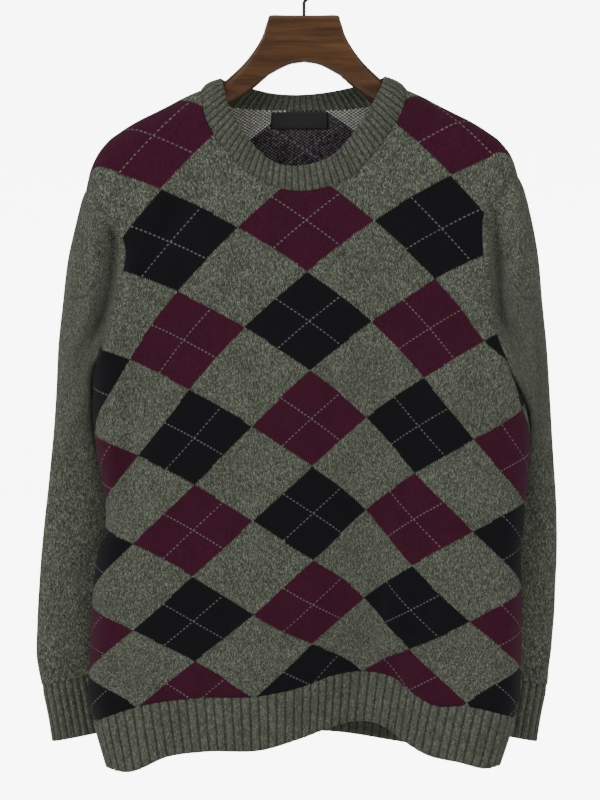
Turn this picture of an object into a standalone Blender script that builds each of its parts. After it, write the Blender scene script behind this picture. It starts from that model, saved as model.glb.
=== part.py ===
"""Argyle crew-neck sweater on a flat wooden hanger, as separate closed solids.

Frame: metres, +Z up, the front of the sweater faces -Y. The origin is the
inner top of the hook. Tables hold millimetres, measured from the centre line
and down from the origin. "Left" is the -X side.
"""

import math
from typing import NamedTuple

import bmesh
import bpy
import numpy as np

MM = 0.001
FRONT, BACK = -1, 1
LEFT, RIGHT = -1, 1

# Cloth
CLOTH_WALL = 2.4
SEAM_GAP = 0.3
RIB_RISE = 0.9
SHOULDER_ROUND = 22.0
SIDE_ROUND = {FRONT: 25.0, BACK: 12.0}
NECK_HALF_WIDTH = 104.0
SHOULDER_TIP = {LEFT: 221.0, RIGHT: 217.0}

# Counts
SHOULDER_COLUMNS = 6
NECK_COLUMNS = 14
ARMHOLE_ROWS = 10
SIDE_ROWS = 8
ROW_CROWDING = 0.62
NECK_CROWDING = 0.75
COLUMN_CROWDING = 0.35
ARMHOLE_PART = 0.35
ARMHOLE_SPREAD = 0.17
TOP_FADE = 5
STEEPEST_ROUND = 1.6
HEM_RIBS = 54
COLLAR_RIBS = 84
CUFF_RIBS = 26

# Hanger and hook
BLOCK_TOP = -62.0
HOOK_WIRE = 1.7
HOOK_INNER_RADIUS = 21.0
HOOK_BORE_DEPTH = 30.0
HANGER_CLEARANCE = 0.9

# Label
LABEL_LEFT, LABEL_RIGHT = -33.0, 24.0
LABEL_TOP, LABEL_BOTTOM = -157.5, -174.0
LABEL_THICKNESS = 0.9


class Ridge(NamedTuple):
    distance: float
    height: float


class Side(NamedTuple):
    height: float
    left: float
    right: float


class Depth(NamedTuple):
    height: float
    front: float
    back: float
    back_edge: float


class Spot(NamedTuple):
    x: float
    height: float


class SleeveRing(NamedTuple):
    outer_height: float
    outer_left: float
    outer_right: float
    outer_back: float
    inner_height: float
    inner_left: float
    inner_right: float
    inner_back: float
    half_depth: float
    right_lower: float


class HangerSection(NamedTuple):
    distance: float
    top: float
    bottom: float
    half_depth: float
    squareness: float


class Fold(NamedTuple):
    """A soft trough: it is deepest at middle_height and fades over its length."""

    x: float
    middle_height: float
    lean: float
    width: float
    length: float
    depth: float


# Top line of the sweater over the hanger, by distance from the centre line.
RIDGE = (
    Ridge(0, -104), Ridge(50, -113), Ridge(82, -126), Ridge(101, -135),
    Ridge(121, -144), Ridge(136, -152), Ridge(152, -160), Ridge(168, -168),
    Ridge(184, -178), Ridge(199, -190), Ridge(210, -206), Ridge(217, -224),
    Ridge(222, -242),
)

# Edge of the body seen from the front. Above the underarm it only has to lie
# outside the armhole.
BODY_SIDES = (
    Side(-200, 275, 275), Side(-330, 245, 248), Side(-380, 222, 234),
    Side(-415, 212, 223), Side(-440, 208, 220), Side(-475, 208, 224),
    Side(-510, 206, 225), Side(-540, 201, 223), Side(-570, 199, 221),
    Side(-600, 207, 218), Side(-660, 213, 219), Side(-715, 216, 218),
    Side(-750, 216, 216), Side(-769, 212, 212), Side(-790, 206, 203),
    Side(-817, 198, 196),
)

# How far the cloth stands in front of and behind the middle plane.
BODY_DEPTH = (
    Depth(-100, 22, 22, 22), Depth(-200, 22, 22, 22), Depth(-300, 25, 24, 22),
    Depth(-380, 27, 26, 17), Depth(-420, 28, 27, 13), Depth(-520, 30, 29, 12.5),
    Depth(-680, 31, 30, 12.5), Depth(-820, 31, 30, 13),
)
BACK_EDGE_START, BACK_EDGE_END = 85.0, 165.0

ARMHOLE = {
    LEFT: (
        Spot(-221, -238), Spot(-200, -261), Spot(-184, -280), Spot(-178, -298),
        Spot(-181, -325), Spot(-186, -350), Spot(-192, -374), Spot(-203, -396),
        Spot(-210, -428),
    ),
    RIGHT: (
        Spot(217, -224), Spot(198, -243), Spot(180, -262), Spot(178, -285),
        Spot(180, -315), Spot(185, -350), Spot(192, -382), Spot(205, -413),
        Spot(221, -456),
    ),
}

NECK_SEAM = {
    FRONT: (
        Spot(-104, -137), Spot(-97, -168), Spot(-77, -199), Spot(-54, -222),
        Spot(-32, -234), Spot(0, -239), Spot(22, -235), Spot(47, -225),
        Spot(65, -206), Spot(84, -182), Spot(97, -160), Spot(104, -137),
    ),
    BACK: (
        Spot(-104, -137), Spot(-90, -148), Spot(-72, -153), Spot(-48, -155.5),
        Spot(0, -156), Spot(56, -154), Spot(76, -150), Spot(92, -145),
        Spot(104, -137),
    ),
}
NECK_EDGE = {
    FRONT: (
        Spot(-83, -126), Spot(-76, -155), Spot(-62, -179), Spot(-48, -197),
        Spot(-34, -209), Spot(-20, -214.5), Spot(-6, -215), Spot(8, -213),
        Spot(29, -204), Spot(45, -188), Spot(57, -171.5), Spot(71, -149),
        Spot(79, -132), Spot(81, -124),
    ),
    BACK: (
        Spot(-83, -126), Spot(-70, -130), Spot(-53, -134), Spot(-34, -138.5),
        Spot(-6, -140.4), Spot(22, -138), Spot(50, -132.5), Spot(68, -128),
        Spot(81, -124),
    ),
}
NECK_EDGE_DEPTH = {FRONT: 21.0, BACK: 20.0}
NECK_EDGE_ROUND = {FRONT: 22.0, BACK: 14.0}

HEM_SEAM = {
    FRONT: (
        Spot(-212, -769), Spot(-164, -753), Spot(-107, -745), Spot(-45, -743),
        Spot(-6, -735), Spot(29, -724), Spot(59, -720), Spot(86, -725),
        Spot(113, -744), Spot(128, -752), Spot(161, -753), Spot(212, -765),
    ),
    BACK: (
        Spot(-212, -769), Spot(-120, -750), Spot(-40, -737), Spot(30, -735),
        Spot(96, -745), Spot(150, -753), Spot(212, -765),
    ),
}
HEM_EDGE = {
    FRONT: (
        Spot(-199, -815), Spot(-174, -817), Spot(-136, -802), Spot(-98, -797),
        Spot(-40, -795), Spot(-6, -785), Spot(25, -775), Spot(52, -769),
        Spot(73, -771), Spot(98, -787), Spot(121, -800), Spot(155, -808),
        Spot(182, -814), Spot(196, -813),
    ),
    BACK: (
        Spot(-199, -815), Spot(-120, -798), Spot(-60, -788), Spot(26, -783),
        Spot(96, -793), Spot(150, -802), Spot(196, -813),
    ),
}

FRONT_FOLDS = (
    Fold(x=61, middle_height=-830, lean=0.02, width=40, length=230, depth=30),
    Fold(x=-172, middle_height=-505, lean=0.05, width=14, length=75, depth=7),
    Fold(x=128, middle_height=-700, lean=-0.10, width=20, length=120, depth=5),
)

# Rings of a sleeve from the armhole to the cuff seam, then the cuff's edge. The
# right sleeve's inner points lie lower by the last column.
SLEEVE_RINGS = (
    SleeveRing(-242, 222, 217, 0, -428, 212, 222, 0, 25, 28),
    SleeveRing(-270, 229, 226, 0, -433, 215, 225, 0, 26, 27),
    SleeveRing(-310, 238, 235, 2, -440, 216.5, 227, 1, 27, 25),
    SleeveRing(-352, 243, 240, 5, -450, 216, 228, 5, 27, 23),
    SleeveRing(-396, 248, 245, 9, -467, 211, 227, 13, 25, 20),
    SleeveRing(-444, 250, 248, 13, -496, 203, 222, 25, 22, 16),
    SleeveRing(-496, 254, 251, 17, -540, 189, 206, 36, 19, 12),
    SleeveRing(-550, 260, 255, 21, -590, 173, 186, 44, 18, 8),
    SleeveRing(-606, 266, 256, 24, -640, 163, 172, 47, 18, 4),
    SleeveRing(-662, 270, 254, 27, -683, 163, 164, 46, 17, 2),
    SleeveRing(-708, 271, 250, 28, -709, 175, 162, 44, 16, 0),
    SleeveRing(-736, 266, 247, 29, -721, 187, 164, 42, 14.5, 0),
)
CUFF_EDGE = SleeveRing(-793, 255, 236, 29, -778, 177, 158, 41, 14, 0)
BLEND_RINGS_TOP, BLEND_RINGS_UNDERARM = 4.5, 2.2
CROTCH_PART = (0.3, 0.95)
THIN_PART, THIN_RINGS, THINNED = (-0.2, 0.6), (4, 7), 1.3
RELAX_PASSES = 4

HANGER_SECTIONS = (
    HangerSection(0, -62, -109, 7, 5),
    HangerSection(16, -62, -112, 7, 5),
    HangerSection(33.5, -62, -121, 7.2, 5),
    HangerSection(36.5, -67, -123, 7.3, 5),
    HangerSection(38.5, -73, -125, 7.4, 5),
    HangerSection(41, -81, -127, 7.6, 4.5),
    HangerSection(45.5, -90, -131, 8, 4),
    HangerSection(52, -100, -136, 8.5, 3.6),
    HangerSection(61, -111, -143, 8.8, 2.9),
    HangerSection(72, -121.5, -150.5, 9.2, 2.4),
)
HANGER_ARM_STEPS = (82, 95, 110, 126, 142, 158, 170, 179)
HANGER_END = 183.0
HANGER_ARM_HEIGHT = 31.0
HANGER_ARM_HALF_DEPTH = 13.0

SHANK_BOTTOM = BLOCK_TOP - HOOK_BORE_DEPTH + 1.0

COLOURS = {
    "argyle_knit": ((0.05, 0.01, 0.03, 1), 0.9, 0.0),
    "marl_knit": ((0.13, 0.14, 0.10, 1), 0.9, 0.0),
    "rib_knit": ((0.12, 0.13, 0.09, 1), 0.9, 0.0),
    "label_weave": ((0.01, 0.01, 0.012, 1), 0.7, 0.0),
    "hanger_wood": ((0.10, 0.04, 0.015, 1), 0.45, 0.0),
    "hook_metal": ((0.02, 0.02, 0.02, 1), 0.35, 1.0),
}


# ---------------------------------------------------------------- curves

def hermite(keys, values, at):
    """Read a smooth curve through (key, value) pairs at the given places."""
    keys = np.asarray(keys, float)
    values = np.asarray(values, float)
    slopes = np.gradient(values, keys, axis=0)
    at = np.clip(np.asarray(at, float), keys[0], keys[-1])
    index = np.clip(np.searchsorted(keys, at, side="right") - 1, 0, len(keys) - 2)
    step = keys[index + 1] - keys[index]
    part = (at - keys[index]) / step
    if values.ndim == 2:
        step, part = step[..., None], part[..., None]
    start, end = values[index], values[index + 1]
    leave, arrive = slopes[index] * step, slopes[index + 1] * step
    return ((2 * part**3 - 3 * part**2 + 1) * start + (part**3 - 2 * part**2 + part) * leave
            + (3 * part**2 - 2 * part**3) * end + (part**3 - part**2) * arrive)


def column(table, name):
    return np.array([getattr(row, name) for row in table], float)


def by_height(table, name, height):
    """Read one column of a table whose rows run downwards."""
    return hermite(-column(table, "height"), column(table, name), -np.asarray(height, float))


def smoothstep(low, high, value):
    part = np.clip((value - low) / (high - low), 0, 1)
    return part * part * (3 - 2 * part)


def path_lengths(points):
    steps = np.linalg.norm(np.diff(points, axis=0), axis=1)
    return np.concatenate(([0.0], np.cumsum(steps)))


def along_points(points, fractions):
    """Points of a smooth outline at fractions of its length."""
    lengths = path_lengths(points)
    return hermite(lengths / lengths[-1], points, fractions)


def along_spots(spots, fractions):
    return along_points(np.array([(spot.x, spot.height) for spot in spots], float), fractions)


def along_polyline(points, fractions):
    """Points of a polyline at fractions of its length, with its straight chords kept."""
    lengths = path_lengths(points[:, :3])
    places = np.asarray(fractions) * lengths[-1]
    return np.stack([np.interp(places, lengths, points[:, axis])
                     for axis in range(points.shape[1])], axis=1)


# ------------------------------------------------- the hung body as a surface

def ridge_height(x):
    return hermite(column(RIDGE, "distance"), column(RIDGE, "height"), np.abs(x))


def shoulder_reach(x):
    """Vertical reach of the round over the shoulder, longer where it is steep."""
    slope = ridge_height(np.abs(x) + 0.5) - ridge_height(np.abs(x) - 0.5)
    return SHOULDER_ROUND * np.sqrt(1 + np.clip(slope, -STEEPEST_ROUND, 0)**2)


def side_start(x, height, face):
    half = np.where(x < 0, by_height(BODY_SIDES, "left", height),
                    by_height(BODY_SIDES, "right", height))
    return half - SIDE_ROUND[face]


def unroll(past, reach):
    """Length along a quarter round that shows as the distance past its start."""
    return np.where(past > 0, reach * np.arcsin(np.clip(past / reach, 0, 1)), past)


def roll(past, reach):
    """Shown distance and remaining depth of a point that runs past a fold."""
    angle = np.clip(past / reach, 0, math.pi / 2)
    shown = np.where(past > 0, reach * np.sin(angle), past)
    return shown, np.cos(angle)


def to_cloth(x, height, face):
    """Cloth place of a point given as it is seen from the front."""
    x, height = np.asarray(x, float), np.asarray(height, float)
    start = side_start(x, height, face)
    cloth_x = np.sign(x) * (start + unroll(np.abs(x) - start, SIDE_ROUND[face]))
    reach = shoulder_reach(x)
    start = ridge_height(x) - reach
    return cloth_x, start + unroll(height - start, reach)


def fold_relief(x, height):
    """How far the front's folds sink, at each place."""
    sunk = np.zeros_like(x)
    for fold in FRONT_FOLDS:
        across = (x - fold.x - fold.lean * (height - fold.middle_height)) / fold.width
        down = (height - fold.middle_height) / fold.length
        sunk = sunk + fold.depth * np.exp(-across**2 - down**2)
    return sunk


def body_point(cloth_x, cloth_height, face):
    """Place of a cloth point on the hung body, in millimetres."""
    cloth_x = np.asarray(cloth_x, float)
    cloth_height = np.asarray(cloth_height, float)
    start = side_start(cloth_x, cloth_height, face)
    shown, side_cos = roll(np.abs(cloth_x) - start, SIDE_ROUND[face])
    x = np.sign(cloth_x) * (start + shown)
    reach = shoulder_reach(x)
    start = ridge_height(x) - reach
    shown, top_cos = roll(cloth_height - start, reach)
    height = start + shown
    if face == FRONT:
        depth = by_height(BODY_DEPTH, "front", height) - fold_relief(x, height)
    else:
        edge = smoothstep(BACK_EDGE_START, BACK_EDGE_END, np.abs(x))
        depth = (by_height(BODY_DEPTH, "back", height) * (1 - edge)
                 + by_height(BODY_DEPTH, "back_edge", height) * edge)
    return np.stack([x, face * depth * side_cos * top_cos, height], axis=-1)


def body_surface(cloth_x, cloth_height, face):
    """Points and outward normals of the body at cloth places."""
    probe = 0.05
    across = (body_point(cloth_x + probe, cloth_height, face)
              - body_point(cloth_x - probe, cloth_height, face))
    up = (body_point(cloth_x, cloth_height + probe, face)
          - body_point(cloth_x, cloth_height - probe, face))
    normals = -face * np.cross(across, up)
    normals /= np.linalg.norm(normals, axis=-1, keepdims=True)
    return body_point(cloth_x, cloth_height, face), normals


# ---------------------------------------------------------- panel outlines

def spread_fractions(count, crowding):
    """Fractions from 0 to 1 that stand closer together near both ends."""
    even = np.linspace(-1, 1, count + 1)
    return (even + crowding * np.sin(math.pi * even) / math.pi + 1) / 2


def cloth_outline(spots, face, shares, start=None, end=None):
    """Cloth places along an outline seen from the front, at shares of its true length."""
    cloth = np.stack(to_cloth(column(spots, "x"), column(spots, "height"), face), axis=1)
    if start is not None:
        cloth[0] = start
    if end is not None:
        cloth[-1] = end
    cloth = along_points(cloth, np.linspace(0, 1, 400))
    lengths = path_lengths(body_point(cloth[:, 0], cloth[:, 1], face))
    places = np.asarray(shares) * lengths[-1]
    return np.stack([np.interp(places, lengths, cloth[:, axis]) for axis in (0, 1)], axis=1)


def top_outline(face):
    """Top edge of a panel: shoulder seam, neck seam, shoulder seam."""
    shoulder = spread_fractions(2 * SHOULDER_COLUMNS, 0.3)[:SHOULDER_COLUMNS + 1] * 2
    left_x = -SHOULDER_TIP[LEFT] + shoulder * (SHOULDER_TIP[LEFT] - NECK_HALF_WIDTH)
    right_x = SHOULDER_TIP[RIGHT] - shoulder[::-1] * (SHOULDER_TIP[RIGHT] - NECK_HALF_WIDTH)
    left = np.stack(to_cloth(left_x, ridge_height(left_x), face), axis=1)
    right = np.stack(to_cloth(right_x, ridge_height(right_x), face), axis=1)
    neck = cloth_outline(NECK_SEAM[face], face, spread_fractions(NECK_COLUMNS, NECK_CROWDING),
                         left[-1], right[0])
    return np.concatenate([left, neck[1:-1], right])


def side_edge(height, face, hand):
    name = "left" if hand == LEFT else "right"
    half = by_height(BODY_SIDES, name, height)
    return hand * (half + (math.pi / 2 - 1) * SIDE_ROUND[face])


def side_outline(face, hand):
    """Side edge of a panel: armhole to the underarm, then the side seam."""
    tip, underarm = ARMHOLE[hand][0], ARMHOLE[hand][-1]
    corner = side_edge(underarm.height, face, hand), underarm.height
    armhole = cloth_outline(ARMHOLE[hand], face,
                            spread_fractions(ARMHOLE_ROWS, ROW_CROWDING), end=corner)
    armhole[0] = tip.x, ridge_height(tip.x) + (math.pi / 2 - 1) * shoulder_reach(tip.x)
    seam_end = HEM_SEAM[face][0 if hand == LEFT else -1].height
    heights = np.linspace(underarm.height, seam_end, SIDE_ROWS + 1)[1:]
    seam = np.stack([side_edge(heights, face, hand), heights], axis=1)
    return np.concatenate([armhole, seam])


def row_fractions():
    """How far down each row lies: close rows over the shoulder, even ones below."""
    armhole = spread_fractions(ARMHOLE_ROWS, ROW_CROWDING)
    below = np.linspace(ARMHOLE_PART, 1, SIDE_ROWS + 1)[1:]
    return np.concatenate([armhole * ARMHOLE_PART, below])


def bottom_outline(face, fractions):
    """Bottom edge of a panel, along the rib seam."""
    spots = HEM_SEAM[face]
    left = side_edge(spots[0].height, face, LEFT)
    right = side_edge(spots[-1].height, face, RIGHT)
    cloth_x = left + fractions * (right - left)
    height = hermite(column(spots, "x"), column(spots, "height"), cloth_x)
    return np.stack([cloth_x, height], axis=1)


def panel_grid(face):
    """Cloth places of a panel, blended between its four edges."""
    top = top_outline(face)
    left = side_outline(face, LEFT)
    right = side_outline(face, RIGHT)
    across = spread_fractions(len(top) - 1, COLUMN_CROWDING)
    bottom = bottom_outline(face, across)
    down = row_fractions()[:, None, None]
    level = top[0] + across[:, None] * (top[-1] - top[0])
    grid = ((1 - down) * level + down * bottom
            + (1 - down)**TOP_FADE * (top - level))
    by_left = 1 - smoothstep(0, ARMHOLE_SPREAD, across)[None, :, None]
    by_right = smoothstep(1 - ARMHOLE_SPREAD, 1, across)[None, :, None]
    grid = (grid + by_left * (left[:, None] - grid[:, :1])
            + by_right * (right[:, None] - grid[:, -1:]))
    return pull_in(grid)


def pull_in(grid):
    """Draw the ridge and side edges back by half a seam gap."""
    grid = grid.copy()
    grid[0, :SHOULDER_COLUMNS + 1, 1] -= SEAM_GAP / 2
    grid[0, -SHOULDER_COLUMNS - 1:, 1] -= SEAM_GAP / 2
    grid[ARMHOLE_ROWS:, 0, 0] += SEAM_GAP / 2
    grid[ARMHOLE_ROWS:, -1, 0] -= SEAM_GAP / 2
    return grid


def step_off(points, normals, gap, closed, away):
    """Move a seam line sideways within its surface, away from a given place."""
    if closed:
        run = np.roll(points, -1, axis=0) - np.roll(points, 1, axis=0)
    else:
        run = np.gradient(points, axis=0)
    aside = np.cross(run, normals)
    aside /= np.linalg.norm(aside, axis=1, keepdims=True)
    turn = np.sign(np.sum(aside * (points - away)))
    return points + aside * turn * gap


# ------------------------------------------------------------ solids

def material(name):
    found = bpy.data.materials.get(name)
    if found:
        return found
    colour, roughness, metallic = COLOURS[name]
    made = bpy.data.materials.new(name)
    made.use_nodes = True
    shader = made.node_tree.nodes["Principled BSDF"]
    shader.inputs["Base Color"].default_value = colour
    shader.inputs["Roughness"].default_value = roughness
    shader.inputs["Metallic"].default_value = metallic
    made.diffuse_color = colour
    return made


def place(collection, name, mesh, finish):
    """Put a closed mesh in the scene with its faces pointing out."""
    shape = bmesh.new()
    shape.from_mesh(mesh)
    bmesh.ops.recalc_face_normals(shape, faces=shape.faces)
    shape.to_mesh(mesh)
    shape.free()
    mesh.shade_smooth()
    mesh.set_sharp_from_angle(angle=math.radians(50))
    item = bpy.data.objects.new(name, mesh)
    item.data.materials.append(material(finish))
    collection.objects.link(item)
    return item


def wall(collection, name, finish, outer, inner, closed, rising=False):
    """Closed wall between an outer and an inner grid.

    closed joins the ends of the rows. rising cuts each end face along its
    other diagonal, to lie flat beside a neighbour whose columns run upwards.
    """
    rows, columns = outer.shape[:2]
    points = np.concatenate([outer.reshape(-1, 3), inner.reshape(-1, 3)]) * MM
    inside = rows * columns

    def at(row, col, base=0):
        return base + row * columns + col % columns

    quads = []
    spans = columns if closed else columns - 1
    for row in range(rows - 1):
        for col in range(spans):
            for base in (0, inside):
                quads.append((at(row, col, base), at(row, col + 1, base),
                              at(row + 1, col + 1, base), at(row + 1, col, base)))
    for row in (0, rows - 1):
        for col in range(spans):
            quads.append((at(row, col), at(row, col + 1),
                          at(row, col + 1, inside), at(row, col, inside)))
    if not closed:
        for col in (0, columns - 1):
            for row in range(rows - 1):
                near, far = (row + 1, row) if rising else (row, row + 1)
                quads.append((at(near, col), at(far, col),
                              at(far, col, inside), at(near, col, inside)))
    faces = [half for a, b, c, d in quads for half in ((a, b, c), (a, c, d))]
    mesh = bpy.data.meshes.new(name)
    mesh.from_pydata([tuple(point) for point in points], [], faces)
    mesh.validate()
    return place(collection, name, mesh, finish)


def rib_rise(count):
    """Raised height of each rib column: ridges and furrows by turns."""
    return np.where(np.arange(count) % 2 == 0, RIB_RISE, 0.0)


def body_panel(collection, name, face):
    grid = panel_grid(face)
    points, normals = body_surface(grid[..., 0], grid[..., 1], face)
    wall(collection, name, "argyle_knit", points, points - normals * CLOTH_WALL, False,
         rising=face == BACK)
    return grid, points, normals


def hem_rib(collection, name, face, panel):
    """Rib band below a panel: its top follows the panel's own bottom edge."""
    grid, points, normals = panel
    count = 2 * HEM_RIBS + 1
    share = np.linspace(0, 1, count)
    edge = along_polyline(np.concatenate([points[-1], normals[-1], grid[-1]], axis=1), share)
    top_normal = edge[:, 3:6]
    top = step_off(edge[:, :3], top_normal, SEAM_GAP, False, points[-2].mean(axis=0))
    spots = HEM_EDGE[face]
    left = side_edge(spots[0].height, face, LEFT) + SEAM_GAP / 2
    right = side_edge(spots[-1].height, face, RIGHT) - SEAM_GAP / 2
    cloth_x = left + (edge[:, 6] - edge[0, 6]) / (edge[-1, 6] - edge[0, 6]) * (right - left)
    height = hermite(column(spots, "x"), column(spots, "height"), cloth_x)
    low, low_normal = body_surface(cloth_x, height, face)
    outer = np.stack([top, low])
    inward = np.stack([top_normal, low_normal])
    rise = rib_rise(count)[None, :, None]
    rise[:, [0, -1]] = 0
    wall(collection, name, "rib_knit", outer + inward * rise, outer - inward * CLOTH_WALL, False)


# ------------------------------------------------------------ neck band

def neck_loop(front, back):
    """Seam points and normals of both panels' necks, as one closed loop."""
    first, last = SHOULDER_COLUMNS, SHOULDER_COLUMNS + NECK_COLUMNS
    ahead = np.concatenate([front[1][0, first:last + 1], front[2][0, first:last + 1]], axis=1)
    behind = np.concatenate([back[1][0, first:last + 1], back[2][0, first:last + 1]], axis=1)
    return ahead, behind[::-1]


def neck_edge_points(face, share):
    """Free edge of the neck band on one side of the ridge."""
    fine = spread_fractions(200, 0.9)
    seen = along_spots(NECK_EDGE[face], fine)
    top = np.interp(fine, [0, 1], [NECK_EDGE[face][0].height, NECK_EDGE[face][-1].height])
    drop = np.clip((top - seen[:, 1]) / NECK_EDGE_ROUND[face], 0, 1)
    depth = face * NECK_EDGE_DEPTH[face] * np.sqrt(1 - (1 - drop)**2)
    return along_polyline(np.stack([seen[:, 0], depth, seen[:, 1]], axis=1), share)


def neck_band(collection, front, back):
    ahead, behind = neck_loop(front, back)
    length_ahead = path_lengths(ahead[:, :3])[-1]
    length_behind = path_lengths(behind[:, :3])[-1]
    count = 2 * COLLAR_RIBS
    columns_ahead = 2 * round(COLLAR_RIBS * length_ahead / (length_ahead + length_behind))
    share_ahead = np.arange(columns_ahead) / columns_ahead
    share_behind = np.arange(count - columns_ahead) / (count - columns_ahead)
    seam = np.concatenate([along_polyline(ahead, share_ahead),
                           along_polyline(behind, share_behind)])
    edge = np.concatenate([neck_edge_points(FRONT, share_ahead),
                           neck_edge_points(BACK, 1 - share_behind)])
    seam_point, seam_normal = seam[:, :3], seam[:, 3:6]
    reach = edge - seam_point
    start = seam_point + reach / np.linalg.norm(reach, axis=1, keepdims=True) * SEAM_GAP
    run = np.roll(edge, -1, axis=0) - np.roll(edge, 1, axis=0)
    edge_normal = np.cross(reach, run)
    edge_normal /= np.linalg.norm(edge_normal, axis=1, keepdims=True)
    edge_normal *= np.sign(np.sum(edge_normal * seam_normal, axis=1, keepdims=True))
    middle_normal = seam_normal + edge_normal
    middle_normal /= np.linalg.norm(middle_normal, axis=1, keepdims=True)
    middle = (start + edge) / 2 + middle_normal * 1.2
    outer = np.stack([start, middle, edge])
    inward = np.stack([seam_normal, middle_normal, edge_normal])
    rise = rib_rise(count)[None, :, None]
    wall(collection, "collar", "rib_knit", outer + inward * rise,
         outer - inward * CLOTH_WALL, True)


# ------------------------------------------------------------ sleeves

def armhole_loop(front, back, hand):
    """Armhole edge of both panels, from the tip round the front and up the back."""
    side = 0 if hand == LEFT else -1
    down = [np.stack([panel[1][:ARMHOLE_ROWS + 1, side], panel[2][:ARMHOLE_ROWS + 1, side]])
            for panel in (front, back)]
    loop = np.concatenate([down[0], down[1][:, -2:0:-1]], axis=1)
    loop[:, 0] = (down[0][:, 0] + down[1][:, 0]) / 2
    loop[:, ARMHOLE_ROWS] = (down[0][:, -1] + down[1][:, -1]) / 2
    loop[1] /= np.linalg.norm(loop[1], axis=1, keepdims=True)
    return loop[0], loop[1]


def oval(ring, hand):
    """Points round one sleeve ring, from its outer edge over the front."""
    angles = np.linspace(0, 2 * math.pi, 2 * ARMHOLE_ROWS, endpoint=False)[:, None]
    side = "left" if hand == LEFT else "right"
    outer = np.array([hand * getattr(ring, "outer_" + side), ring.outer_back, ring.outer_height])
    lower = ring.right_lower if hand == RIGHT else 0.0
    inner = np.array([hand * getattr(ring, "inner_" + side), ring.inner_back,
                      ring.inner_height - lower])
    middle, half = (outer + inner) / 2, (outer - inner) / 2
    depth = np.array([0.0, -ring.half_depth, 0.0])
    return middle + half * np.cos(angles) + depth * np.sin(angles)


def blend_reach():
    """Rings over which the armhole's shape fades, fewer at the underarm."""
    angles = np.linspace(0, 2 * math.pi, 2 * ARMHOLE_ROWS, endpoint=False)[:, None]
    middle = (BLEND_RINGS_TOP + BLEND_RINGS_UNDERARM) / 2
    return middle + (BLEND_RINGS_TOP - BLEND_RINGS_UNDERARM) / 2 * np.cos(angles)


def grid_normals(points):
    """Outward normals of a tube given ring by ring."""
    around = np.roll(points, -1, axis=1) - np.roll(points, 1, axis=1)
    down = np.gradient(points, axis=0)
    normals = np.cross(around, down)
    normals /= np.linalg.norm(normals, axis=2, keepdims=True)
    outward = points - points.mean(axis=1, keepdims=True)
    turn = np.sign(np.sum(normals * outward, axis=2).sum())
    return normals * turn


def relaxed(points):
    """A sleeve's points after evening the tight ones out below the underarm."""
    early = 1 - smoothstep(*THIN_RINGS, np.arange(len(points) - 2))[:, None, None]
    share = near_underarm(THIN_PART) * early
    for _ in range(RELAX_PASSES):
        middle = points[1:-1]
        around = (np.roll(middle, 1, axis=1) + np.roll(middle, -1, axis=1)) / 2
        along = (points[:-2] + points[2:]) / 2
        eased = middle + share * ((around + along) / 2 - middle) / 2
        points = np.concatenate([points[:1], eased, points[-1:]])
    return points


def softened(normals):
    """Normals averaged with their neighbours round the ring."""
    mixed = 2 * normals + np.roll(normals, 1, axis=1) + np.roll(normals, -1, axis=1)
    return mixed / np.linalg.norm(mixed, axis=2, keepdims=True)


def near_underarm(part):
    """One at a sleeve's inner edge, nothing over its outer side."""
    angles = np.linspace(0, 2 * math.pi, 2 * ARMHOLE_ROWS, endpoint=False)[:, None]
    return smoothstep(*part, -np.cos(angles))


def sleeve(collection, name, cuff_name, hand, front, back):
    seam, seam_normal = armhole_loop(front, back, hand)
    centre = np.array([hand * 100.0, 0.0, -330.0])
    crotch = near_underarm(CROTCH_PART)
    first = step_off(seam, seam_normal, SEAM_GAP, True, centre)
    first = first + crotch * seam_normal * SEAM_GAP
    rings = [oval(ring, hand) for ring in SLEEVE_RINGS]
    offset = first - rings[0]
    reach = blend_reach()
    outer = np.stack([ring + offset * (1 - smoothstep(0, reach, number))
                      for number, ring in enumerate(rings)])
    outer = relaxed(outer)
    normals = softened(softened(grid_normals(outer)))
    normals[0] = seam_normal + crotch * (normals[0] - seam_normal)
    normals[0] /= np.linalg.norm(normals[0], axis=1, keepdims=True)
    early = 1 - smoothstep(*THIN_RINGS, np.arange(len(rings)))[:, None, None]
    thickness = CLOTH_WALL - THINNED * near_underarm(THIN_PART) * early
    wall(collection, name, "marl_knit", outer, outer - normals * thickness, True)
    cuff(collection, cuff_name, hand, outer[-1], normals[-1])


def cuff(collection, name, hand, ring, ring_normal):
    """Rib tube below a sleeve, on the sleeve's own last ring."""
    axis = oval(CUFF_EDGE, hand).mean(axis=0) - ring.mean(axis=0)
    axis /= np.linalg.norm(axis)
    both = np.concatenate([ring, ring_normal], axis=1)
    closed = np.concatenate([both, both[:1]])
    low = oval(CUFF_EDGE, hand)
    low = np.concatenate([low, low[:1]])
    share = np.arange(2 * CUFF_RIBS) / (2 * CUFF_RIBS)
    top = along_polyline(closed, share)
    start = top[:, :3] + axis * SEAM_GAP
    end = along_polyline(low, share)
    flat = top[:, 3:6] - np.sum(top[:, 3:6] * axis, axis=1, keepdims=True) * axis
    flat /= np.linalg.norm(flat, axis=1, keepdims=True)
    outer, inward = np.stack([start, end]), np.stack([flat, flat])
    rise = rib_rise(2 * CUFF_RIBS)[None, :, None]
    wall(collection, name, "rib_knit", outer + inward * rise, outer - inward * CLOTH_WALL, True)


# ------------------------------------------------------------ label

def label(collection):
    x, height = np.meshgrid(np.linspace(LABEL_LEFT, LABEL_RIGHT, 5),
                            np.linspace(LABEL_TOP, LABEL_BOTTOM, 3))
    points, normals = body_surface(x, height, BACK)
    near = points - normals * (CLOTH_WALL + SEAM_GAP)
    wall(collection, "neck_label", "label_weave", near, near - normals * LABEL_THICKNESS, False)


# ------------------------------------------------------------ hanger and hook

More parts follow.
